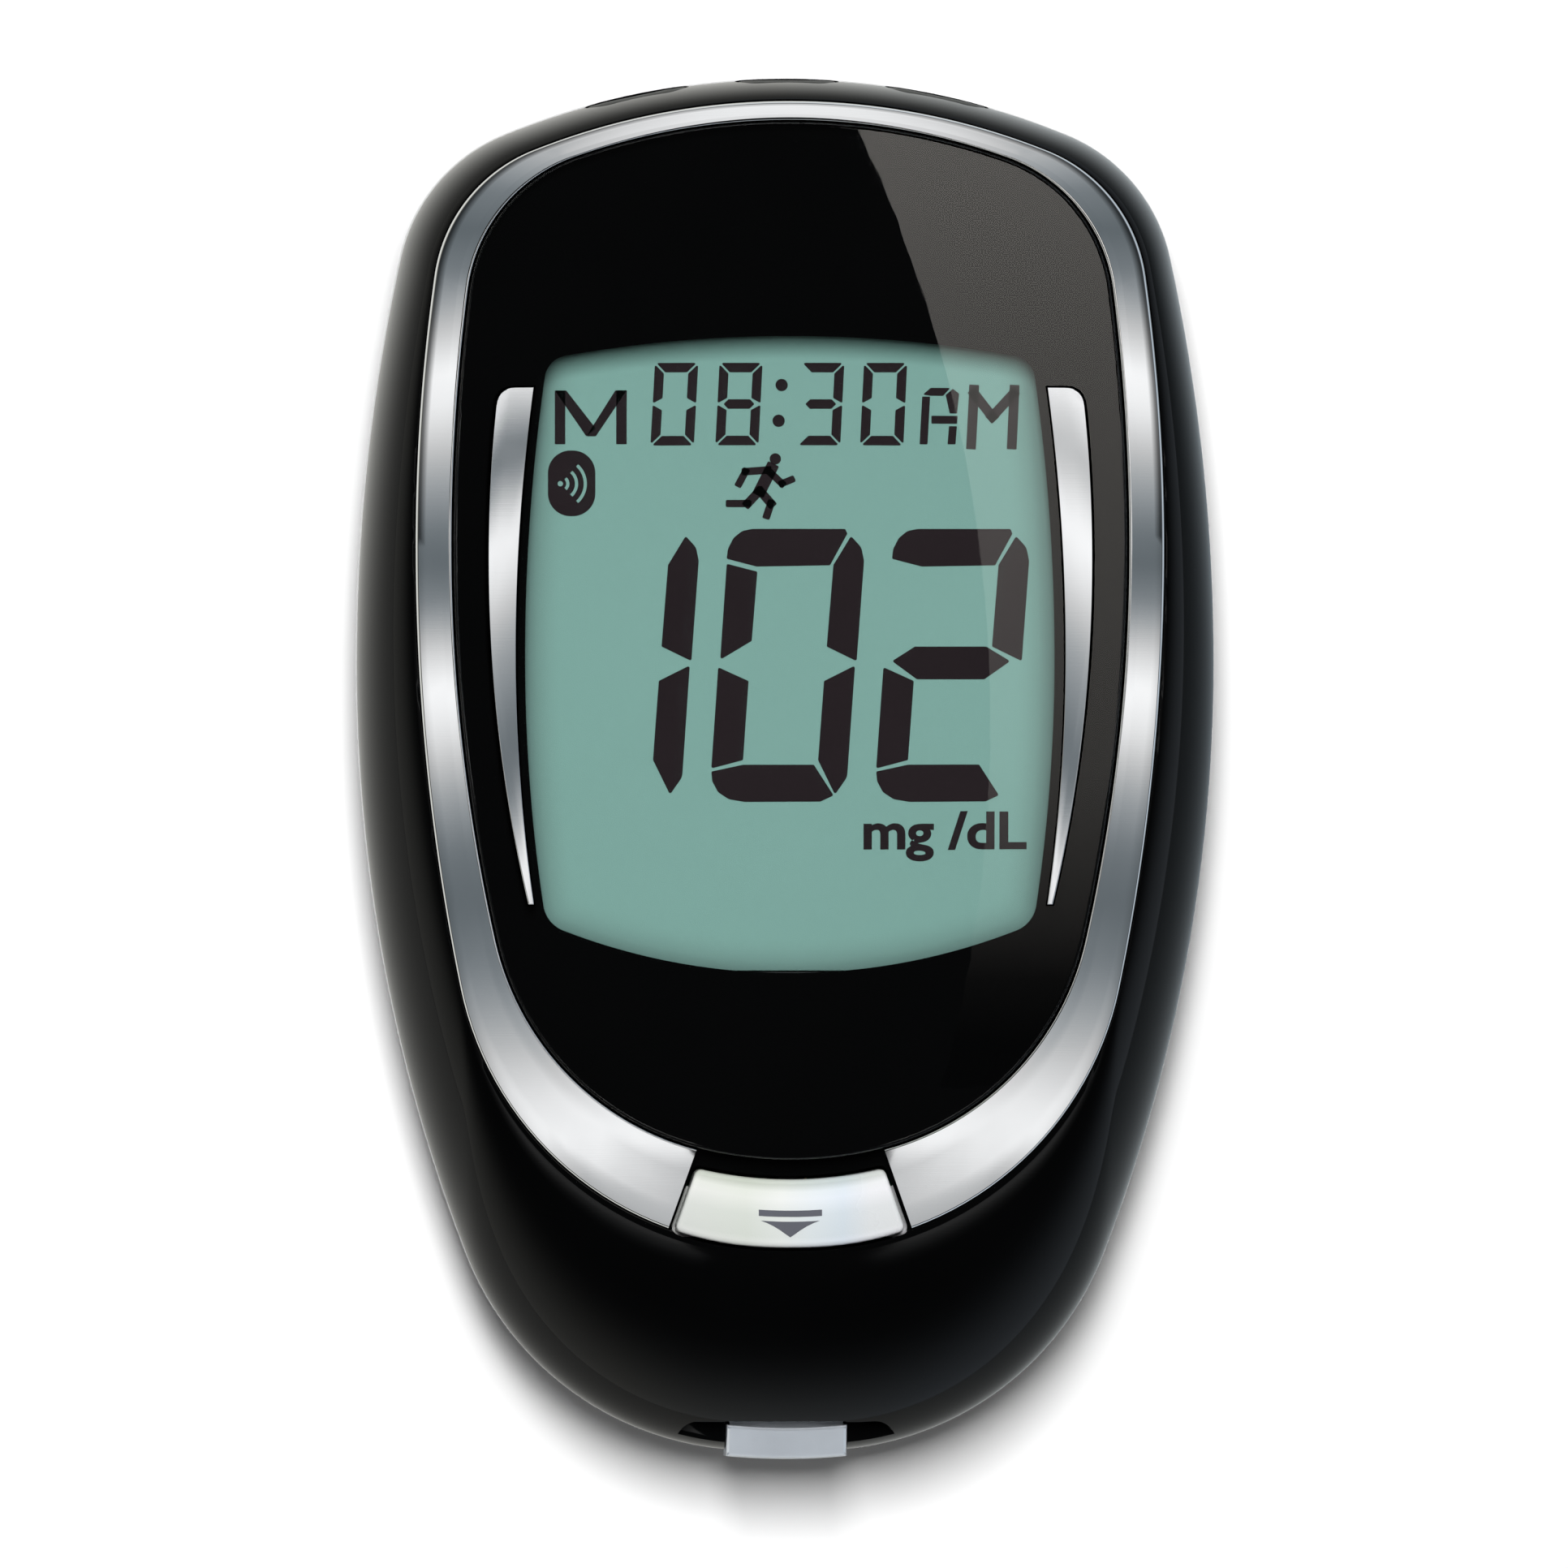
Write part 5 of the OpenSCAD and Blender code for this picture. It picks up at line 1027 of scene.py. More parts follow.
def make_keys():
    """Three rubber keys on the head end, their faces following the case and slightly dished."""

    def row(points, grow, drop=0.0):
        return [Vector((p.x, crown_line(p.x, grow) - drop, p.y)) for p in points]

    bodies = ("back_key", "select_key", "next_key")
    for x, name, body in zip(KEY_PLACES, ("key_back", "key_select", "key_next"), bodies):
        loop = box_loop(x - 3.2, 9.5, x + 3.2, 12.5, 1.49, 14)
        wide = box_loop(x - 3.6, 9.1, x + 3.6, 12.9, 1.85, 14)
        inner = inset(loop, 0.28)
        rows = [row(wide, -3.2), row(wide, -2.5), row(loop, -2.5)]
        rows += [row(mixed(loop, inner, 1 - math.cos(t)), KEY_FACE, 0.28 * (1 - math.sin(t))) for t in quarter_turn(6)]
        rows += [row(inset(loop, 0.75), KEY_FACE, 0.02), row(inset(loop, 1.1), KEY_FACE, 0.1)]
        key = outward(skin(name + "_cap", rows))
        smooth(key, 40)
        dress(key, body, "key_rubber", "key_rubber", name)


# ---------------------------------------------------------------- geometry nodes
def grown(name, places, tree, **inputs):
    """Runs a node tree on a set of points and keeps the result as a plain mesh."""
    base = bpy.data.meshes.new(name + "_places")
    base.from_pydata([tuple(Vector(p) * MM) for p in places], [], [])
    holder = linked(name + "_places", base)
    mod = holder.modifiers.new("grow", "NODES")
    mod.node_group = tree
    for item in tree.interface.items_tree:
        if item.item_type == "SOCKET" and item.in_out == "INPUT" and item.name in inputs:
            mod[item.identifier] = inputs[item.name]
    mesh = plain(holder)
    bpy.data.objects.remove(holder)
    if not mesh.polygons:
        raise RuntimeError(f"{name} came back empty")
    return linked(name, mesh)


def geometry_group(name, *sockets):
    """A geometry node group that takes points and a finish."""
    points = ("Geometry", "Geometry")
    return new_group(name, "GeometryNodeTree", [points, *sockets, ("Finish", "Material")], [points])


def set_at_points(tree, given, shape, **turn):
    """Ends a tree: the shape at every point, as one mesh with its finish."""
    put = node(tree, "GeometryNodeInstanceOnPoints", {"Points": given["Geometry"], "Instance": shape, **turn})
    real = node(tree, "GeometryNodeRealizeInstances", {0: put.outputs[0]})
    paint = node(tree, "GeometryNodeSetMaterial", {"Geometry": real.outputs[0], "Material": given["Finish"]})
    node(tree, "NodeGroupOutput", {0: paint.outputs[0]})
    return tree


def repeat_tree():
    """Sets one object at every point, each turned by its own angle, as one mesh."""
    tree, given = geometry_group("Repeat at points", ("Shape", "Object"), ("Turn", "Float"), ("Seed", "Int"))
    info = node(tree, "GeometryNodeObjectInfo", {0: given["Shape"]})
    turn = node(tree, "FunctionNodeRandomValue", {3: given["Turn"], "Seed": given["Seed"]}, data_type="FLOAT")
    spin = node(tree, "ShaderNodeCombineXYZ", {2: turn.outputs[1]})
    return set_at_points(tree, given, info.outputs["Geometry"], Rotation=spin.outputs[0])


def spring_tree():
    """A coil at every point: a spiral swept by a round wire."""
    sizes = [(label, "Float") for label in ("Turns", "Coil radius", "Wire radius", "Height")]
    tree, given = geometry_group("Coil springs", *sizes)
    spiral = node(tree, "GeometryNodeCurveSpiral", {
        "Resolution": 28, "Rotations": given["Turns"], "Start Radius": given["Coil radius"],
        "End Radius": given["Coil radius"], "Height": given["Height"],
    })
    ring = node(tree, "GeometryNodeCurvePrimitiveCircle", {"Resolution": 12, "Radius": given["Wire radius"]})
    sweep = node(tree, "GeometryNodeCurveToMesh", {0: spiral.outputs[0], 1: ring.outputs[0], "Fill Caps": True})
    return set_at_points(tree, given, sweep.outputs[0])


def make_fasteners():
    """Case screws with domed heads and cross recesses, and the two button springs."""
    loop = ellipse_loop(0, 0, 1.9, 1.9, 48)
    shank = mixed(loop, [Vector((0, 0))] * 48, 0.62)
    rows = [at(shank, 7.6), at(shank, 1.84), at(loop, 1.84)]
    rows += [at([p * (1 - 0.22 * (1 - math.cos(t))) for p in loop], 1.1 - 0.48 * math.sin(t)) for t in quarter_turn(6)]
    screw = outward(skin("screw_pattern", rows))
    for x, y in ((1.1, 0.25), (0.25, 1.1)):
        boolean(screw, prism("cross", box_loop(-x, -y, x, y, 0.1), 0.3, 1.15))
    smooth(screw, 35)
    screws = grown("case_screws_heads", [(x, y, 0) for x, y in SCREW_PLACES], repeat_tree(),
                   Shape=screw, Turn=math.pi / 2, Seed=4, Finish=FINISH["steel"])
    bpy.data.objects.remove(screw)
    smooth(screws, 35)
    dress(screws, "case", "steel", "screw_steel", "case_screws")
    lo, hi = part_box("button_springs")
    wire = 0.175
    sizes = {"Turns": 4.0, "Coil radius": (1.2 - wire) * MM, "Wire radius": wire * MM,
             "Height": hi.z - lo.z - 2 * wire * MM, "Finish": FINISH["steel"]}
    places = [(x, y, lo.z / MM + wire) for x, y in SPRING_PLACES]
    springs = grown("button_springs_coils", places, spring_tree(), **sizes)
    smooth(springs, 50)
    dress(springs, "case", "steel", "spring_steel", "button_springs")
    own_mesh(springs)


def make_door():
    """The battery door: a bevelled plate with grip grooves, ribs and two hinge arms."""
    lo, hi = (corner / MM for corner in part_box("battery_door"))
    door = prism("battery_door_plate", box_loop(-hi.x, lo.y, hi.x, hi.y, 2.4, 12), 0.0, 1.4, bevel=0.16, segments=4)
    for x in (-5, 5):
        for y in (BAY_Y - CELL_PITCH, BAY_Y + CELL_PITCH):
            rib = box_loop(x - 0.5, y - 3, x + 0.5, y + 3, 0.15)
            boolean(door, prism("rib", rib, 1.0, 1.98, bevel=0.1), "UNION")
    for x in (-HOOK_X, HOOK_X):
        arm = box_loop(x - 1.3, 23.68, x + 1.3, 24.95, 0.1)
        boolean(door, prism("arm", arm, 0.7, hi.z, bevel=0.08), "UNION")
        tab = box_loop(x - 1.3, 23.9, x + 1.3, hi.y - 0.42, 0.25)
        boolean(door, prism("tab", tab, hi.z - 0.78, hi.z - 0.02, bevel=0.12), "UNION")
    groove = prism("groove_pattern", box_loop(-3.5, -0.2, 3.5, 0.2, 0.19), -0.3, 0.3)
    places = [(0, lo.y + 1.0 * (i + 1) + 0.2, 0) for i in range(5)]
    cutters = grown("grip_grooves", places, repeat_tree(), Shape=groove, Turn=0.0, Seed=1,
                    Finish=FINISH["base_black"])
    bpy.data.objects.remove(groove)
    boolean(door, cutters)
    smooth(door, 35)
    dress(door, "door", "base_black", "door_plastic", "battery_door")


def make_label():
    """The blank rating plate with a printed frame line."""
    plate = prism("rating_label_plate", box_loop(-7.5, -33.05, 7.5, -26.05, 0.8, 10), 0.025, 0.145,
                  bevel=0.03, segments=2)
    smooth(plate, 35)
    dress(plate, "case", "label", "label_grey", "rating_label")
    border = [box_loop(-6.9, -32.45, 6.9, -26.65, 0.5), box_loop(-6.72, -32.27, 6.72, -26.83, 0.35)]
    dress(filled("rating_frame", border, 0.018, 0.03), "case", "icon_grey")


# A coin cell's radius and height, from its flat can over the rolled rim to the stepped cap.
CELL_PROFILE = ((9.3, 2.05), (9.7, 2.12), (9.93, 2.3), (10.0, 2.55), (10.0, 4.75), (9.95, 4.88), (9.8, 4.95),
                (9.25, 4.95), (9.05, 4.98), (8.95, 5.1), (8.8, 5.2), (8.5, 5.25))


def make_cells():
    """Two coin cells: a turned can with a rolled rim and a stepped cap."""
    for side, name in ((1, "coin_cell_upper"), (-1, "coin_cell_lower")):
        rows = [at(ellipse_loop(0, BAY_Y + side * CELL_PITCH, r, r, 96), z) for r, z in CELL_PROFILE]
        cell = outward(skin(name + "_can", rows))
        smooth(cell, 25)
        dress(cell, "case", "steel", "cell_steel", name)


# ---------------------------------------------------------------- display
# One numeral's segments, in mm from the numeral's lower left; b and c are its right side, f and e its left.
NUMERAL = {
    "a": [(0.98, 15.34), (1.05, 15.95), (1.4, 16.65), (1.95, 17.1), (2.6, 17.23), (8.43, 17.23), (8.56, 16.93),
          (7.47, 14.93), (2.86, 14.85)],
    "f": [(0.98, 15.03), (2.91, 14.53), (2.55, 10.16), (0.57, 8.97)],
    "e": [(0.44, 8.5), (2.35, 7.63), (2.0, 2.64), (0.0, 2.11)],
    "d": [(0.0, 1.92), (2.0, 2.35), (6.46, 2.35), (7.71, 0.41), (6.87, 0.02), (2.1, 0.0), (1.1, 0.17), (0.42, 0.62),
          (0.06, 1.3)],
    "c": [(9.05, 8.61), (7.1, 7.63), (6.73, 2.64), (7.79, 0.46), (8.56, 1.56)],
    "b": [(8.79, 16.78), (9.44, 16.06), (9.61, 15.21), (9.15, 8.88), (7.27, 9.8), (7.68, 14.95)],
    "g": [(0.98, 8.88), (2.42, 9.8), (6.91, 9.8), (8.42, 8.88), (6.79, 7.73), (2.55, 7.73)],
}
PARTS = {"0": "abcdef", "1": "bc", "2": "abged", "3": "abgcd", "8": "abcdefg"}
# Rounding of some corners of the numeral's segments.
NUMERAL_ROUND = {
    ("a", 1): 0.5, ("a", 2): 0.6, ("a", 3): 0.6, ("a", 4): 0.5, ("d", 5): 0.6, ("d", 6): 0.6, ("d", 7): 0.5,
    ("d", 8): 0.3, ("c", 4): 0.9, ("b", 1): 0.7, ("b", 2): 0.6,
}
LETTER_BASE = 20.49
LETTER_A = (  # leaning, in bars
    [(0.0, 0), (0.5, 0), (0.68, 3.0), (0.18, 3.0)],
    [(0.22, 3.12), (0.72, 3.55), (1.95, 3.55), (1.5, 3.05), (0.72, 3.05)],
    [(1.65, 3.1), (2.1, 3.5), (2.5, 3.2), (2.36, 1.95), (1.9, 1.95)],
    [(0.75, 1.3), (0.75, 1.8), (2.4, 1.8), (2.36, 1.3)],
    [(1.85, 1.15), (2.35, 1.15), (2.26, 0), (1.76, 0)],
)
NARROW_M = (((0.3, 0.0), (0.48, 3.45)), ((0.5, 3.2), (1.62, 1.75)), ((1.62, 1.75), (2.95, 3.2)),
            ((3.02, 3.45), (2.86, 0.0)))
WIDE_M = (
    [(0, 0), (0.66, 0), (0.66, 3.4), (0, 3.4)],
    [(0.0, 3.4), (0.72, 3.4), (2.58, 1.0), (1.98, 0.5)],
    [(1.98, 0.5), (2.58, 0.5), (4.52, 3.4), (3.8, 3.4)],
    [(3.86, 0), (4.52, 0), (4.52, 3.4), (3.86, 3.4)],
)
RUNNER = (  # body, arms and legs, each from one point to another with its width
    ((-1.1, 18.9), (-1.75, 17.6), 0.78), ((-1.3, 18.85), (-2.7, 18.75), 0.48), ((-2.7, 18.75), (-3.1, 18.0), 0.46),
    ((-1.15, 18.7), (-0.4, 18.0), 0.46), ((-0.4, 18.0), (0.2, 18.25), 0.44), ((-1.75, 17.5), (-1.1, 16.75), 0.56),
    ((-1.1, 16.75), (-1.35, 16.0), 0.48), ((-1.85, 17.5), (-2.55, 16.75), 0.56), ((-2.55, 16.75), (-3.7, 16.75), 0.46),
)


def small_parts(w, h, t, g, slant):
    """The seven bars of a small numeral, mitred at their ends and leaning."""
    m = h / 2
    bars = {
        "a": [(g, h), (w - g, h), (w - g - t, h - t), (g + t, h - t)],
        "d": [(g + t, t), (w - g - t, t), (w - g, 0), (g, 0)],
        "g": [(g + t * 0.5, m), (g + t, m + t / 2), (w - g - t, m + t / 2), (w - g - t * 0.5, m),
              (w - g - t, m - t / 2), (g + t, m - t / 2)],
        "f": [(0, h - g), (t, h - t - g), (t, m + t / 2 + g), (0, m + g * 0.6)],
        "e": [(0, m - g * 0.6), (t, m - t / 2 - g), (t, t + g), (0, g)],
        "b": [(w, h - g), (w, m + g * 0.6), (w - t, m + t / 2 + g), (w - t, h - t - g)],
        "c": [(w, m - g * 0.6), (w, g), (w - t, t + g), (w - t, m - t / 2 - g)],
    }
    return {k: [(x + slant * y, y) for x, y in pts] for k, pts in bars.items()}


def stroke(a, b, t):
    """A bar of width t between two points."""
    a, b = Vector(a), Vector(b)
    d = (b - a).normalized() * (t / 2)
    n = Vector((-d.y, d.x))
    return [tuple(a - d + n), tuple(a - d - n), tuple(b + d - n), tuple(b + d + n)]


def readout_shapes():
    """Every shape of the readout as polygons in the display's plane, in mm."""
    shapes = []

    def put(points, x, y, radii):
        loop = [(x + px, y + py) for px, py in points]
        area = sum(p[0] * q[1] - q[0] * p[1] for p, q in zip(loop, loop[1:] + loop[:1]))
        if area < 0:
            loop = loop[::-1]
            radii = radii[::-1] if isinstance(radii, list) else radii
        shapes.append(rounded(loop, radii, 5))

    for i, digit in enumerate("102"):
        for part in PARTS[digit]:
            radii = [NUMERAL_ROUND.get((part, k), 0.1) for k in range(len(NUMERAL[part]))]
            put(NUMERAL[part], -4.85 + 10.385 * (i - 1), -2.08, radii)
    small = small_parts(2.72, 5.19, 0.6, 0.08, 0.05)
    for digit, x in (("0", -8.66), ("8", -4.6), ("3", 0.56), ("0", 4.52)):
        for part in PARTS[digit]:
            put(small[part], x, 20.41, 0.07)
    shapes.extend(ellipse_loop(x, y, 0.39, 0.39, 20) for x, y in ((-0.42, 24.2), (-0.61, 21.95)))
    for points in LETTER_A:
        put(points, 8.25, LETTER_BASE, 0.05)
    for a, b in NARROW_M:
        put(stroke(a, b, 0.62), 11.2, LETTER_BASE, 0.04)
    for points in WIDE_M:
        put(points, -14.67, LETTER_BASE, 0.05)
    shapes.append(ellipse_loop(-0.82, 19.55, 0.36, 0.36, 20))
    for a, b, width in RUNNER:
        put(stroke(a, b, width), 0, 0, 0.1)
    return shapes


def arc(cx, cy, r, start, stop, n=18):
    """Points on a circle between two angles in degrees."""
    turns = [math.radians(start + (stop - start) * i / n) for i in range(n + 1)]
    return [Vector((cx + r * math.cos(t), cy + r * math.sin(t))) for t in turns]


def make_badge():
    """A long oval with three open arcs and a dot."""
    loops = [box_loop(-15.1, 15.95, -12.12, 20.1, 1.42, 14)]
    loops += [arc(-14.3, 18.0, r, -48, 48) + arc(-14.3, 18.0, r - 0.2, 48, -48) for r in (0.55, 1.1, 1.65)]
    return filled("badge", loops + [ellipse_loop(-14.32, 18.0, 0.17, 0.17, 14)], PRINT_LOW, PRINT_HIGH)


def make_unit():
    """The unit of measure, set in the built-in font and stretched to its width."""
    curve = bpy.data.curves.new("unit", "FONT")
    curve.body = "mg /dL"
    curve.size, curve.offset, curve.resolution_u = 3.25 * MM, 0.085 * MM, 6
    text = linked("unit", curve)
    mesh = plain(text)
    bpy.data.objects.remove(text)
    bm = bmesh.new()
    bm.from_mesh(mesh)
    bmesh.ops.remove_doubles(bm, verts=bm.verts, dist=1e-7)
    xs = [v.co.x for v in bm.verts]
    left = min(xs)
    stretch = 10.25 * MM / (max(xs) - left)
    for v in bm.verts:
        v.co = ((v.co.x - left) * stretch + 4.74 * MM, v.co.y - 5.0 * MM, PRINT_LOW * MM)
    out = bmesh.ops.extrude_face_region(bm, geom=bm.faces[:])
    for v in (g for g in out["geom"] if isinstance(g, bmesh.types.BMVert)):
        v.co.z = PRINT_HIGH * MM
    bmesh.ops.recalc_face_normals(bm, faces=bm.faces)
    bm.to_mesh(mesh)
    bm.free()
    return linked("unit", mesh)


def make_readout():
    """The segments between the display's two glasses, the badge and the unit."""
    bars = [prism(f"bar_{i}", loop, PRINT_LOW, PRINT_HIGH) for i, loop in enumerate(readout_shapes())]
    dress(outward(joined("display_segments", bars + [make_badge(), make_unit()])), "case", "segment")


def make_display():
    """The display's two glasses with polished edges, and its readout."""
    panes = (("lcd_rear_glass", 11.5, 12.19, "lcd_back"), ("lcd_front_glass", 12.22, 13.3, "lcd_glass"))
    for name, low, high, finish in panes:
        lo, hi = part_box(name)
        loop = box_loop(lo.x / MM, lo.y / MM, hi.x / MM, hi.y / MM, 0.25, 4)
        plate = prism(name + "_pane", loop, low, high, bevel=0.08, segments=2)
        smooth(plate, 30)
        dress(plate, "case", finish, "lcd_glass", name)
    make_readout()


def dress_frame_nodes():
    """Gives every CAD node that still shows its finish."""
    for finish, names in NODE_FINISH.items():
        for name in names:
            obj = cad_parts[name]
            obj.data.materials.clear()
            obj.data.materials.append(FINISH[finish])


# ---------------------------------------------------------------- operators
class METER_OT_finishes(bpy.types.Operator):
    """Build the shared effects and the finishes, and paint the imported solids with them"""

    bl_idname = "meter.finishes"
    bl_label = "Finishes"

    def execute(self, context):
        build_groups()
        build_finishes()
        dress_frame_nodes()
        return {"FINISHED"}


class METER_OT_covers(bpy.types.Operator):
    """Make the front and back covers"""

    bl_idname = "meter.covers"
    bl_label = "Covers"

    def execute(self, context):
        make_front_cover()
        make_back_cover()
        return {"FINISHED"}


class METER_OT_trim(bpy.types.Operator):
    """Make the plated ring and the two accent strips"""

    bl_idname = "meter.trim"
    bl_label = "Ring and accents"

    def execute(self, context):
        make_ring()
        make_accents()
        return {"FINISHED"}


class METER_OT_lens(bpy.types.Operator):
    """Make the display lens and its printed mask"""

    bl_idname = "meter.lens"
    bl_label = "Lens and mask"

    def execute(self, context):
        make_lens()
        make_mask()
        return {"FINISHED"}


class METER_OT_button(bpy.types.Operator):
    """Make the strip release button and its mark"""

    bl_idname = "meter.button"
    bl_label = "Release button"

    def execute(self, context):
        make_button()
        return {"FINISHED"}


class METER_OT_port(bpy.types.Operator):
    """Make the silver strip port"""

    bl_idname = "meter.port"
    bl_label = "Strip port"

    def execute(self, context):
        make_port()
        return {"FINISHED"}


class METER_OT_keys(bpy.types.Operator):
    """Make the three rubber keys of the head end"""

    bl_idname = "meter.keys"
    bl_label = "Keys"

    def execute(self, context):
        make_keys()
        return {"FINISHED"}


class METER_OT_display(bpy.types.Operator):
    """Make the display's glasses and its readout"""

    bl_idname = "meter.display"
    bl_label = "Display"

    def execute(self, context):
        make_display()
        return {"FINISHED"}


class METER_OT_battery(bpy.types.Operator):
    """Make the battery door, the coin cells and the rating plate"""

    bl_idname = "meter.battery"
    bl_label = "Battery door, cells and plate"

    def execute(self, context):
        make_door()
        make_cells()
        make_label()
        return {"FINISHED"}


class METER_OT_fasteners(bpy.types.Operator):
    """Make the case screws and the button springs"""

    bl_idname = "meter.fasteners"
    bl_label = "Screws and springs"

    def execute(self, context):
        make_fasteners()
        return {"FINISHED"}


class METER_OT_stage(bpy.types.Operator):
    """Set the floor, the lamps, the cards, the world and the camera"""

    bl_idname = "meter.stage"
    bl_label = "Stage"

    def execute(self, context):
        make_stage()
        return {"FINISHED"}


OPERATORS = (
    METER_OT_finishes, METER_OT_covers, METER_OT_trim, METER_OT_lens, METER_OT_button, METER_OT_port, METER_OT_keys,
    METER_OT_display, METER_OT_battery, METER_OT_fasteners, METER_OT_stage,
)


class METER_PT_panel(bpy.types.Panel):
    """Lists the meter's pieces"""

    bl_idname = "METER_PT_panel"
    bl_label = "Glucose Meter"
    bl_space_type = "VIEW_3D"
    bl_region_type = "UI"
    bl_category = "Glucose Meter"

    def draw(self, context):
        for group in (context.scene.meter_look, context.scene.meter_sizes):
            for key in group.__annotations__:
                self.layout.prop(group, key)
        for op in OPERATORS:
            self.layout.operator(op.bl_idname)


# ---------------------------------------------------------------- stage
CARD_HEIGHT = 300.0
# Light along the ring and the accents, from the tail to the head: place in mm and lightness from 0 to 1.
RING_LIGHT = (
    (-30.0, 0.70), (-26.5, 0.72), (-24.0, 0.98), (-21.3, 0.93), (-16.8, 0.68), (-12.4, 0.48), (-8.5, 0.40),
    (-5.0, 0.45), (-1.5, 0.64), (2.4, 0.90), (5.1, 0.99), (7.3, 0.83), (10.6, 0.50), (12.9, 0.40), (15.0, 0.45),
    (19.0, 0.69), (22.6, 0.93), (25.0, 0.98), (27.6, 0.78), (31.4, 0.48), (34.0, 0.40), (36.5, 0.48), (40.0, 0.81),
    (42.5, 0.99),
)
# Light along the left and the right accent.
ACCENT_LIGHT = (
    ((-8.5, 0.85), (-5.5, 0.98), (-3.0, 0.7), (0.0, 0.43), (2.5, 0.42), (8.0, 0.61), (13.0, 0.9), (15.5, 0.99),
     (16.8, 0.9), (18.6, 0.57), (20.5, 0.39), (22.3, 0.57), (24.0, 0.97)),
    ((-8.5, 0.85), (-5.5, 0.98), (-3.0, 0.72), (0.0, 0.45), (2.5, 0.44), (8.0, 0.63), (13.0, 0.9), (15.5, 0.99),
     (17.2, 0.95), (20.6, 0.69), (22.3, 0.8), (24.0, 0.96)),
)
# The ring's tent: share of the way to the lens, spread of the ring's tilt, and level of light, row by row.
TENT_ROWS = ((1.0, 0.74, 1.0), (1.0, 0.86, 1.0), (1.0, 1.0, 1.0), (0.75, 1.0, 1.0), (0.5, 1.0, 1.0), (0.25, 1.0, 1.0),
             (0.0, 1.0, 1.0), (0.0, 1.08, 0.6), (0.0, 1.18, 0.2), (0.0, 1.36, 0.0))
METAL_GAIN = 1.12
# Light along the lens glare, from the tail to the head: place in mm and the radiance it needs.
GLARE_LIGHT = ((-17.0, 0.0), (-13.0, 0.05), (-9.0, 0.3), (0.0, 0.82), (18.0, 1.25), (30.0, 1.75), (41.0, 2.35))
GLARE_X, GLARE_Y, GLARE_R, GLARE_RIGHT = 12.6, 3.0, 88.0, 24.0  # the glare's curved left edge and its right end
COOL = (0.86, 1.0, 1.09)
# Light of the surroundings in reflections, from straight down to straight up.
SKY = ((0.0, 0.92), (0.3, 0.66), (0.44, 0.47), (0.56, 0.29), (0.64, 0.17), (0.71, 0.09), (0.78, 0.03),
       (0.86, 0.004), (0.93, 0.004), (0.98, 0.014))
WHITE = (1, 1, 1, 1)
LENS_EDGE = outline(LENS, -0.28)


def mirrored(point, normal, eye, height=CARD_HEIGHT):
    """Where the camera's ray meets a card after the surface at a point turns it, all in mm."""
    p, n = Vector(point), Vector(normal).normalized()
    d = (p - eye).normalized()
    r = d - n * (2 * d.dot(n))
    return p + r * ((height - p.z) / r.z)


def tilted(flat, angle):
    """A normal leaning outwards by an angle."""
    return Vector((flat.x * math.sin(angle), flat.y * math.sin(angle), math.cos(angle)))


def card(name, rows, lights, closed=False):
    """A glowing card through rows of points, with a light for each point."""
    n = len(rows[0])
    faces = strips(len(rows), n, span=n if closed else n - 1)
    obj = piece_from(name, [p for row in rows for p in row], faces)
    light = obj.data.attributes.new("light", "FLOAT_COLOR", "POINT")
    for k, colour in enumerate(c for row in lights for c in row):
        light.data[k].color = (*colour, 1)
    mat, tree = bare_material(name)
    source = node(tree, "ShaderNodeAttribute", attribute_name="light")
    glow = node(tree, "ShaderNodeEmission", {0: source.outputs["Color"]})
    node(tree, "ShaderNodeOutputMaterial", {0: glow.outputs[0]})
    obj.data.materials.append(mat)
    obj.visible_camera = obj.visible_diffuse = obj.visible_transmission = obj.visible_shadow = False


def linear(v):
    return v / 12.92 if v <= 0.04045 else ((v + 0.055) / 1.055) ** 2.4


def pick(stops, x):
    if x <= stops[0][0]:
        return stops[0][1]
    for (x0, v0), (x1, v1) in zip(stops, stops[1:]):
        if x <= x1:
            t = (x - x0) / (x1 - x0)
            return v0 + (v1 - v0) * t
    return stops[-1][1]


def metal_light(stops):
    """The light that a place along a plated piece reflects, cooler where it is dim."""

    def colour(x):
        v = pick(stops, x)
        cool = max(0.0, 1 - (v - 0.4) / 0.35)
        return tuple(linear(v) * METAL_GAIN * (1 + (c - 1) * cool) for c in COOL)

    return colour


def ring_tent(eye):
    """The tent over the ring, open over the button, where the ring has its gap."""
    outer, inner = outline(FACE), outline(LENS)
    mid, normals = ring_normals()
    gap = math.sin(math.radians(FAN_ANGLE - 3))
    start = Vector((0, FAN_Y))
    ring = [i for i, p in enumerate(mid) if not (p.y < FAN_Y and abs(p.x) < gap * (p - start).length)]
    first = next(k for k in range(len(ring)) if ring[k] - ring[k - 1] != 1 and ring[k] > 10)
    ring = ring[first:] + ring[:first]
    metal = metal_light(RING_LIGHT)
    rows, lights = [], []
    for share, spread, level in TENT_ROWS:
        row = []
        places = [outer[i] + (inner[i] - outer[i]) * share for i in ring]
        for p, i in zip(places, ring):
            normal = tilted(normals[i].to_2d().normalized(), math.acos(normals[i].z) * spread)
            row.append(mirrored((p.x, p.y, RING_Z + RING_FALL * share), normal, eye))
        rows.append(row)
        lights.append([[c * level for c in metal(p.y)] for p in places])
    card("ring_tent", rows, lights)


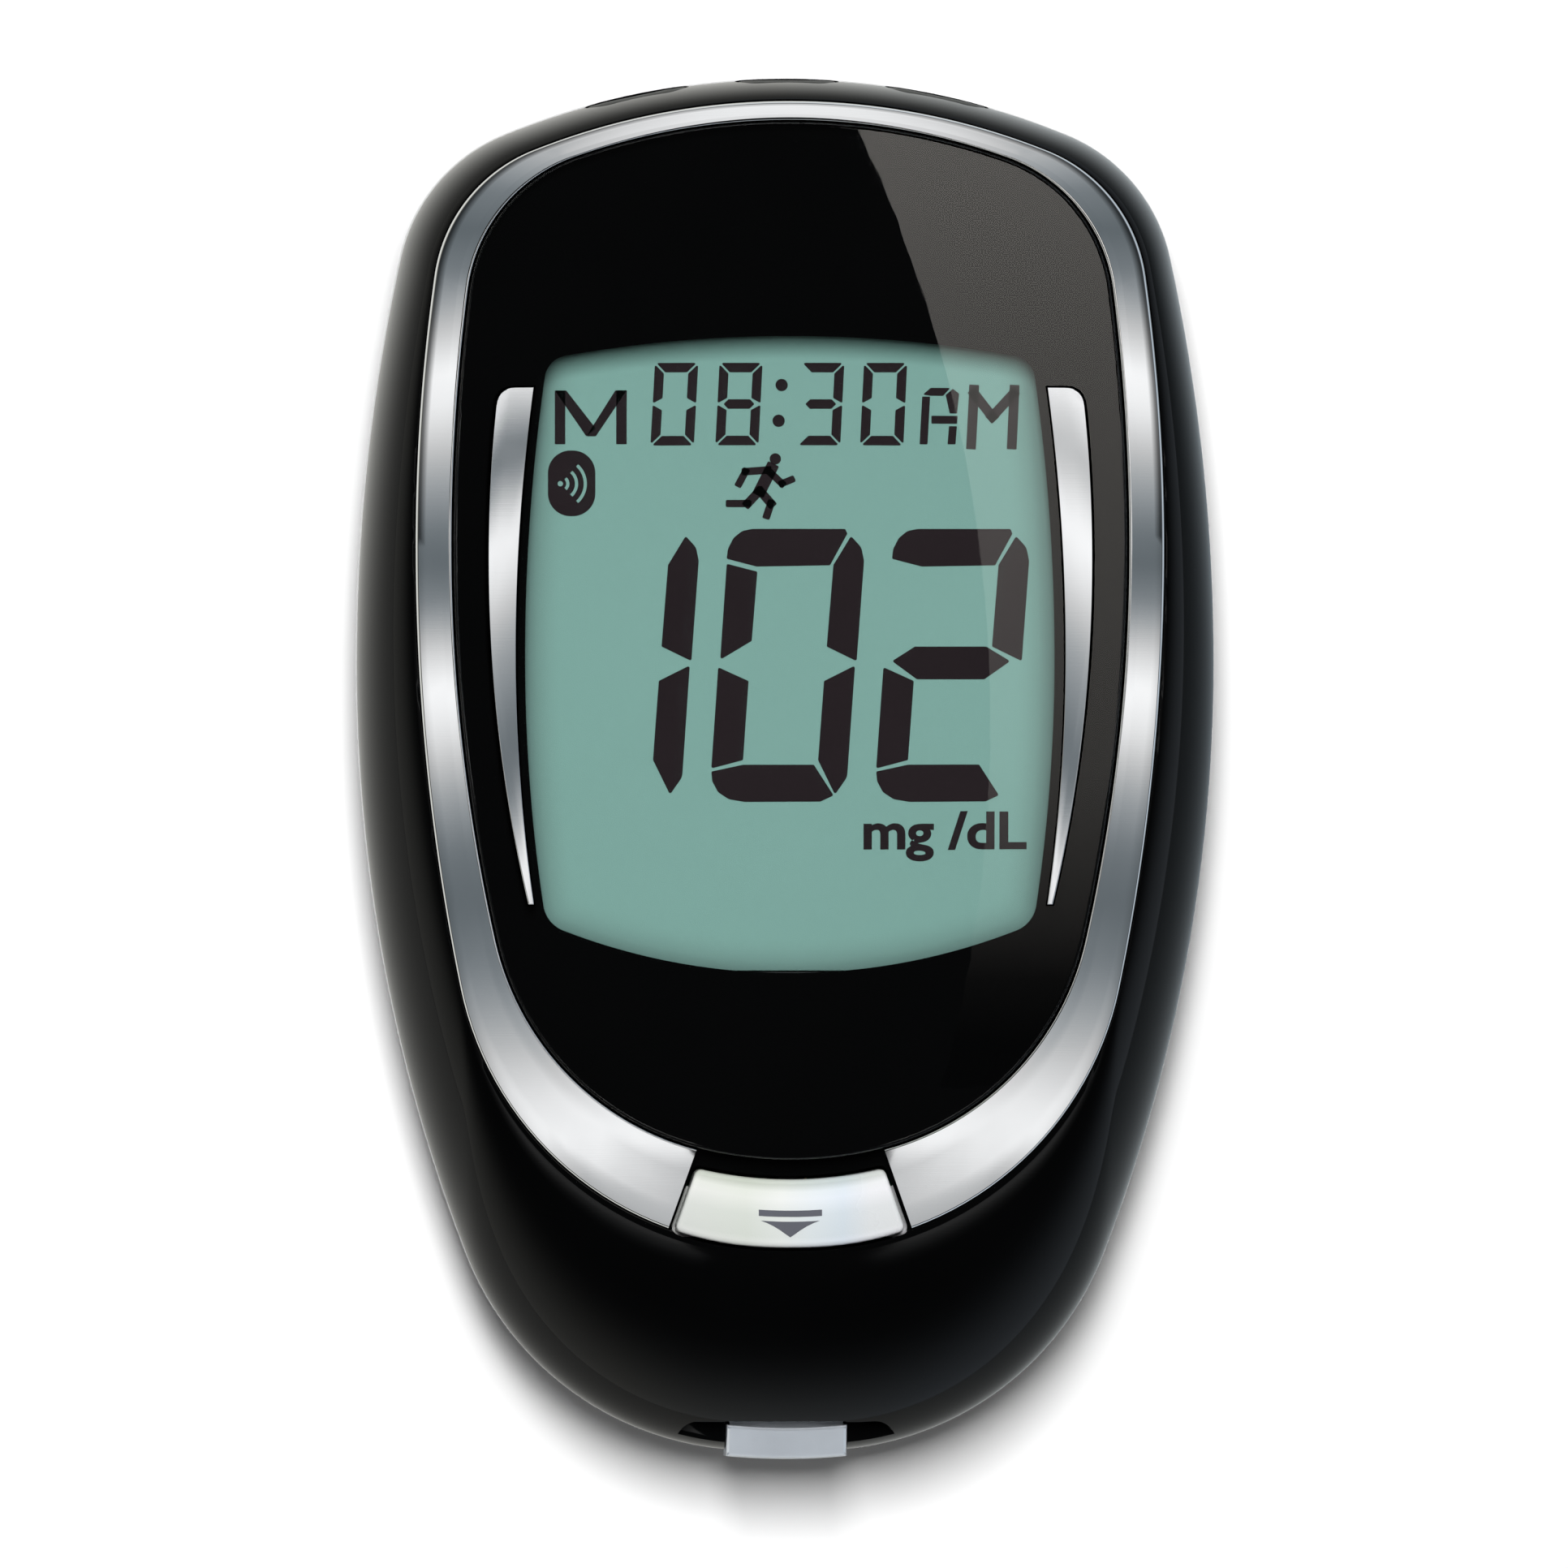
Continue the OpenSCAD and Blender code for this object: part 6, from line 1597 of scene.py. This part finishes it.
def accent_tents(eye):
    ys = [-10 + 36 * i / 60 for i in range(61)]
    for side, stops in zip((-1, 1), ACCENT_LIGHT):
        metal = metal_light(stops)
        rows = []
        for lean in (5.5, 7, 8, 9, 10.5):
            normal = tilted(Vector((side, 0)), math.radians(lean))
            rows.append([mirrored((side * accent_arc(y, 18.55), y, 16.8), normal, eye, CARD_HEIGHT - 8) for y in ys])
        card(f"accent_tent_{side + 1}", rows, [[metal(y) for y in ys]] * len(rows))


def rim_glow():
    """What the case's rim reflects, lighter to the left and darker to the right."""
    case = outline(CASE, 1.5)
    glow = []
    for p in case:
        d = (p - Vector((0, CASE[1]))).normalized()
        level = 0.6 - (0.12 if d.x < 0 else 0.34) * d.x * abs(d.x) + 0.12 * max(0.0, d.y)
        blue = max(0.0, d.x)
        glow.append((level * (1 - 0.14 * blue), level, level * (0.95 + 0.15 * blue)))
    card("rim_glow", [at(case, 0.3), at([p * 50 for p in case], 0.3)], [glow, glow], True)


def glare_softbox(eye):
    """The curved-edge softbox whose glare crosses the lens."""
    ys = [-20 + 64 * i / 48 for i in range(49)]
    rows = []
    for k in range(13):
        row = []
        for y in ys:
            left = GLARE_X - GLARE_R + math.sqrt(GLARE_R**2 - (y - GLARE_Y) ** 2)
            x = left + (GLARE_RIGHT - left) * k / 12
            row.append(mirrored((x, y, 17.0), lens_normal(x, y), eye, CARD_HEIGHT - 16))
        rows.append(row)
    levels = [pick(GLARE_LIGHT, y) for y in ys]
    card("glare_softbox", rows, [[(v * 1.04, v, v * 0.94) for v in levels]] * len(rows))


def lens_normal(x, y):
    e, rise = 0.05, bpy.context.scene.meter_sizes.lens_rise / MM
    dx = (soft_share(x + e, y) ** 2 - soft_share(x - e, y) ** 2) / (2 * e)
    dy = (soft_share(x, y + e) ** 2 - soft_share(x, y - e) ** 2) / (2 * e)
    return Vector((rise * dx, rise * dy, 1.0))


def soft_share(x, y):
    """How far a point lies from the lens's middle to its edge, from 0 to 1."""
    middle = Vector((0, LENS[1]))
    d = Vector((x, y)) - middle
    return d.length / (crossing(LENS_EDGE, middle, d.normalized()) - middle).length


def make_floor():
    """A wide white floor that keeps the shadow; it is clear from below, so that the back can be seen."""
    floor = skin("floor", [at(ellipse_loop(0, 0, r, r, 96), -0.02) for r in (6000.0, 600.0, 60.0)], ends=(False, True))
    mat, tree = bare_material("floor_white")
    light = node(tree, "ShaderNodeLightPath").outputs
    seen = maths(tree, "MAXIMUM", light["Is Camera Ray"], light["Is Glossy Ray"])
    seen = maths(tree, "MAXIMUM", seen, light["Is Transmission Ray"])
    bsdf = node(tree, "ShaderNodeBsdfPrincipled", {
        "Base Color": (0.94, 0.94, 0.94, 1), "Roughness": 0.9, "Specular IOR Level": 0.0, "Emission Color": WHITE,
        "Emission Strength": maths(tree, "MULTIPLY", seen, 0.05),
    })
    clear = node(tree, "ShaderNodeBsdfTransparent")
    below = node(tree, "ShaderNodeNewGeometry").outputs["Backfacing"]
    both = mixed_shader(tree, below, bsdf.outputs[0], clear.outputs[0])
    node(tree, "ShaderNodeOutputMaterial", {0: both})
    floor.data.materials.append(mat)


def make_world():
    """White behind the object, dark overhead in reflections, and an even fill for matt faces."""
    world = bpy.data.worlds.new("studio")
    bpy.context.scene.world = world
    world.use_nodes = True
    tree = world.node_tree
    tree.nodes.clear()

    def glow(colour, strength=1.0):
        return node(tree, "ShaderNodeBackground", {0: colour, 1: strength}).outputs[0]

    toward = node(tree, "ShaderNodeTexCoord").outputs["Generated"]
    split = node(tree, "ShaderNodeSeparateXYZ", {0: toward}).outputs
    height = ramped(tree, split["Z"], [(place, (v, v, v)) for place, v in SKY])
    across = maths(tree, "MULTIPLY_ADD", split["X"], 0.5, 0.5)
    tint = ramped(tree, across, ((0.3, (1.0, 1.0, 0.93)), (0.7, (0.79, 0.89, 1.0))))
    room = glow(blended(tree, 1.0, height, tint, "MULTIPLY"))
    light = node(tree, "ShaderNodeLightPath").outputs
    mirror = maths(tree, "MAXIMUM", light["Is Glossy Ray"], light["Is Transmission Ray"])
    unseen = mixed_shader(tree, mirror, glow(WHITE, 0.075), room)
    node(tree, "ShaderNodeOutputWorld", {0: mixed_shader(tree, light["Is Camera Ray"], unseen, glow(WHITE))})


def make_stage():
    scene = bpy.context.scene
    scene.view_settings.view_transform = "Standard"
    turn, reach = scene.meter_sizes.camera_turn, scene.meter_sizes.camera_range
    place = Vector((-0.00005, -0.00098, 0.008)) + Vector((-math.sin(turn), 0, math.cos(turn))) * reach
    eye = place / MM
    ring_tent(eye)
    accent_tents(eye)
    rim_glow()
    glare_softbox(eye)
    make_floor()
    make_world()
    # the key lamp, over the head end, lights matt faces only
    lamp = bpy.data.lights.new("key", "AREA")
    lamp.shape, lamp.size, lamp.size_y, lamp.energy = "RECTANGLE", 0.26, 0.54, 15.9
    key = linked("key", lamp)
    key.location = (-0.05, 0.31, 1.15)
    key.rotation_euler = (-key.location).to_track_quat("-Z", "Y").to_euler()
    key.visible_glossy = key.visible_transmission = False
    lens = bpy.data.cameras.new("camera")
    lens.lens = 36.0 * reach / 0.09932
    lens.clip_start, lens.clip_end = 0.05, 20.0
    scene.camera = linked("camera", lens)
    scene.camera.location = place
    scene.camera.rotation_euler = (0, -turn, 0)


def register():
    for cls in (MeterLook, MeterSizes, *OPERATORS, METER_PT_panel):
        bpy.utils.register_class(cls)
    bpy.types.Scene.meter_look = bpy.props.PointerProperty(type=MeterLook)
    bpy.types.Scene.meter_sizes = bpy.props.PointerProperty(type=MeterSizes)


def unregister():
    del bpy.types.Scene.meter_look, bpy.types.Scene.meter_sizes
    for cls in reversed((MeterLook, MeterSizes, *OPERATORS, METER_PT_panel)):
        bpy.utils.unregister_class(cls)


def main():
    register()
    bpy.ops.meter.finishes()
    bpy.ops.meter.covers()
    bpy.ops.meter.trim()
    bpy.ops.meter.lens()
    bpy.ops.meter.button()
    bpy.ops.meter.port()
    bpy.ops.meter.keys()
    bpy.ops.meter.display()
    bpy.ops.meter.battery()
    bpy.ops.meter.fasteners()
    bpy.ops.meter.stage()


if __name__ == "__main__":
    main()
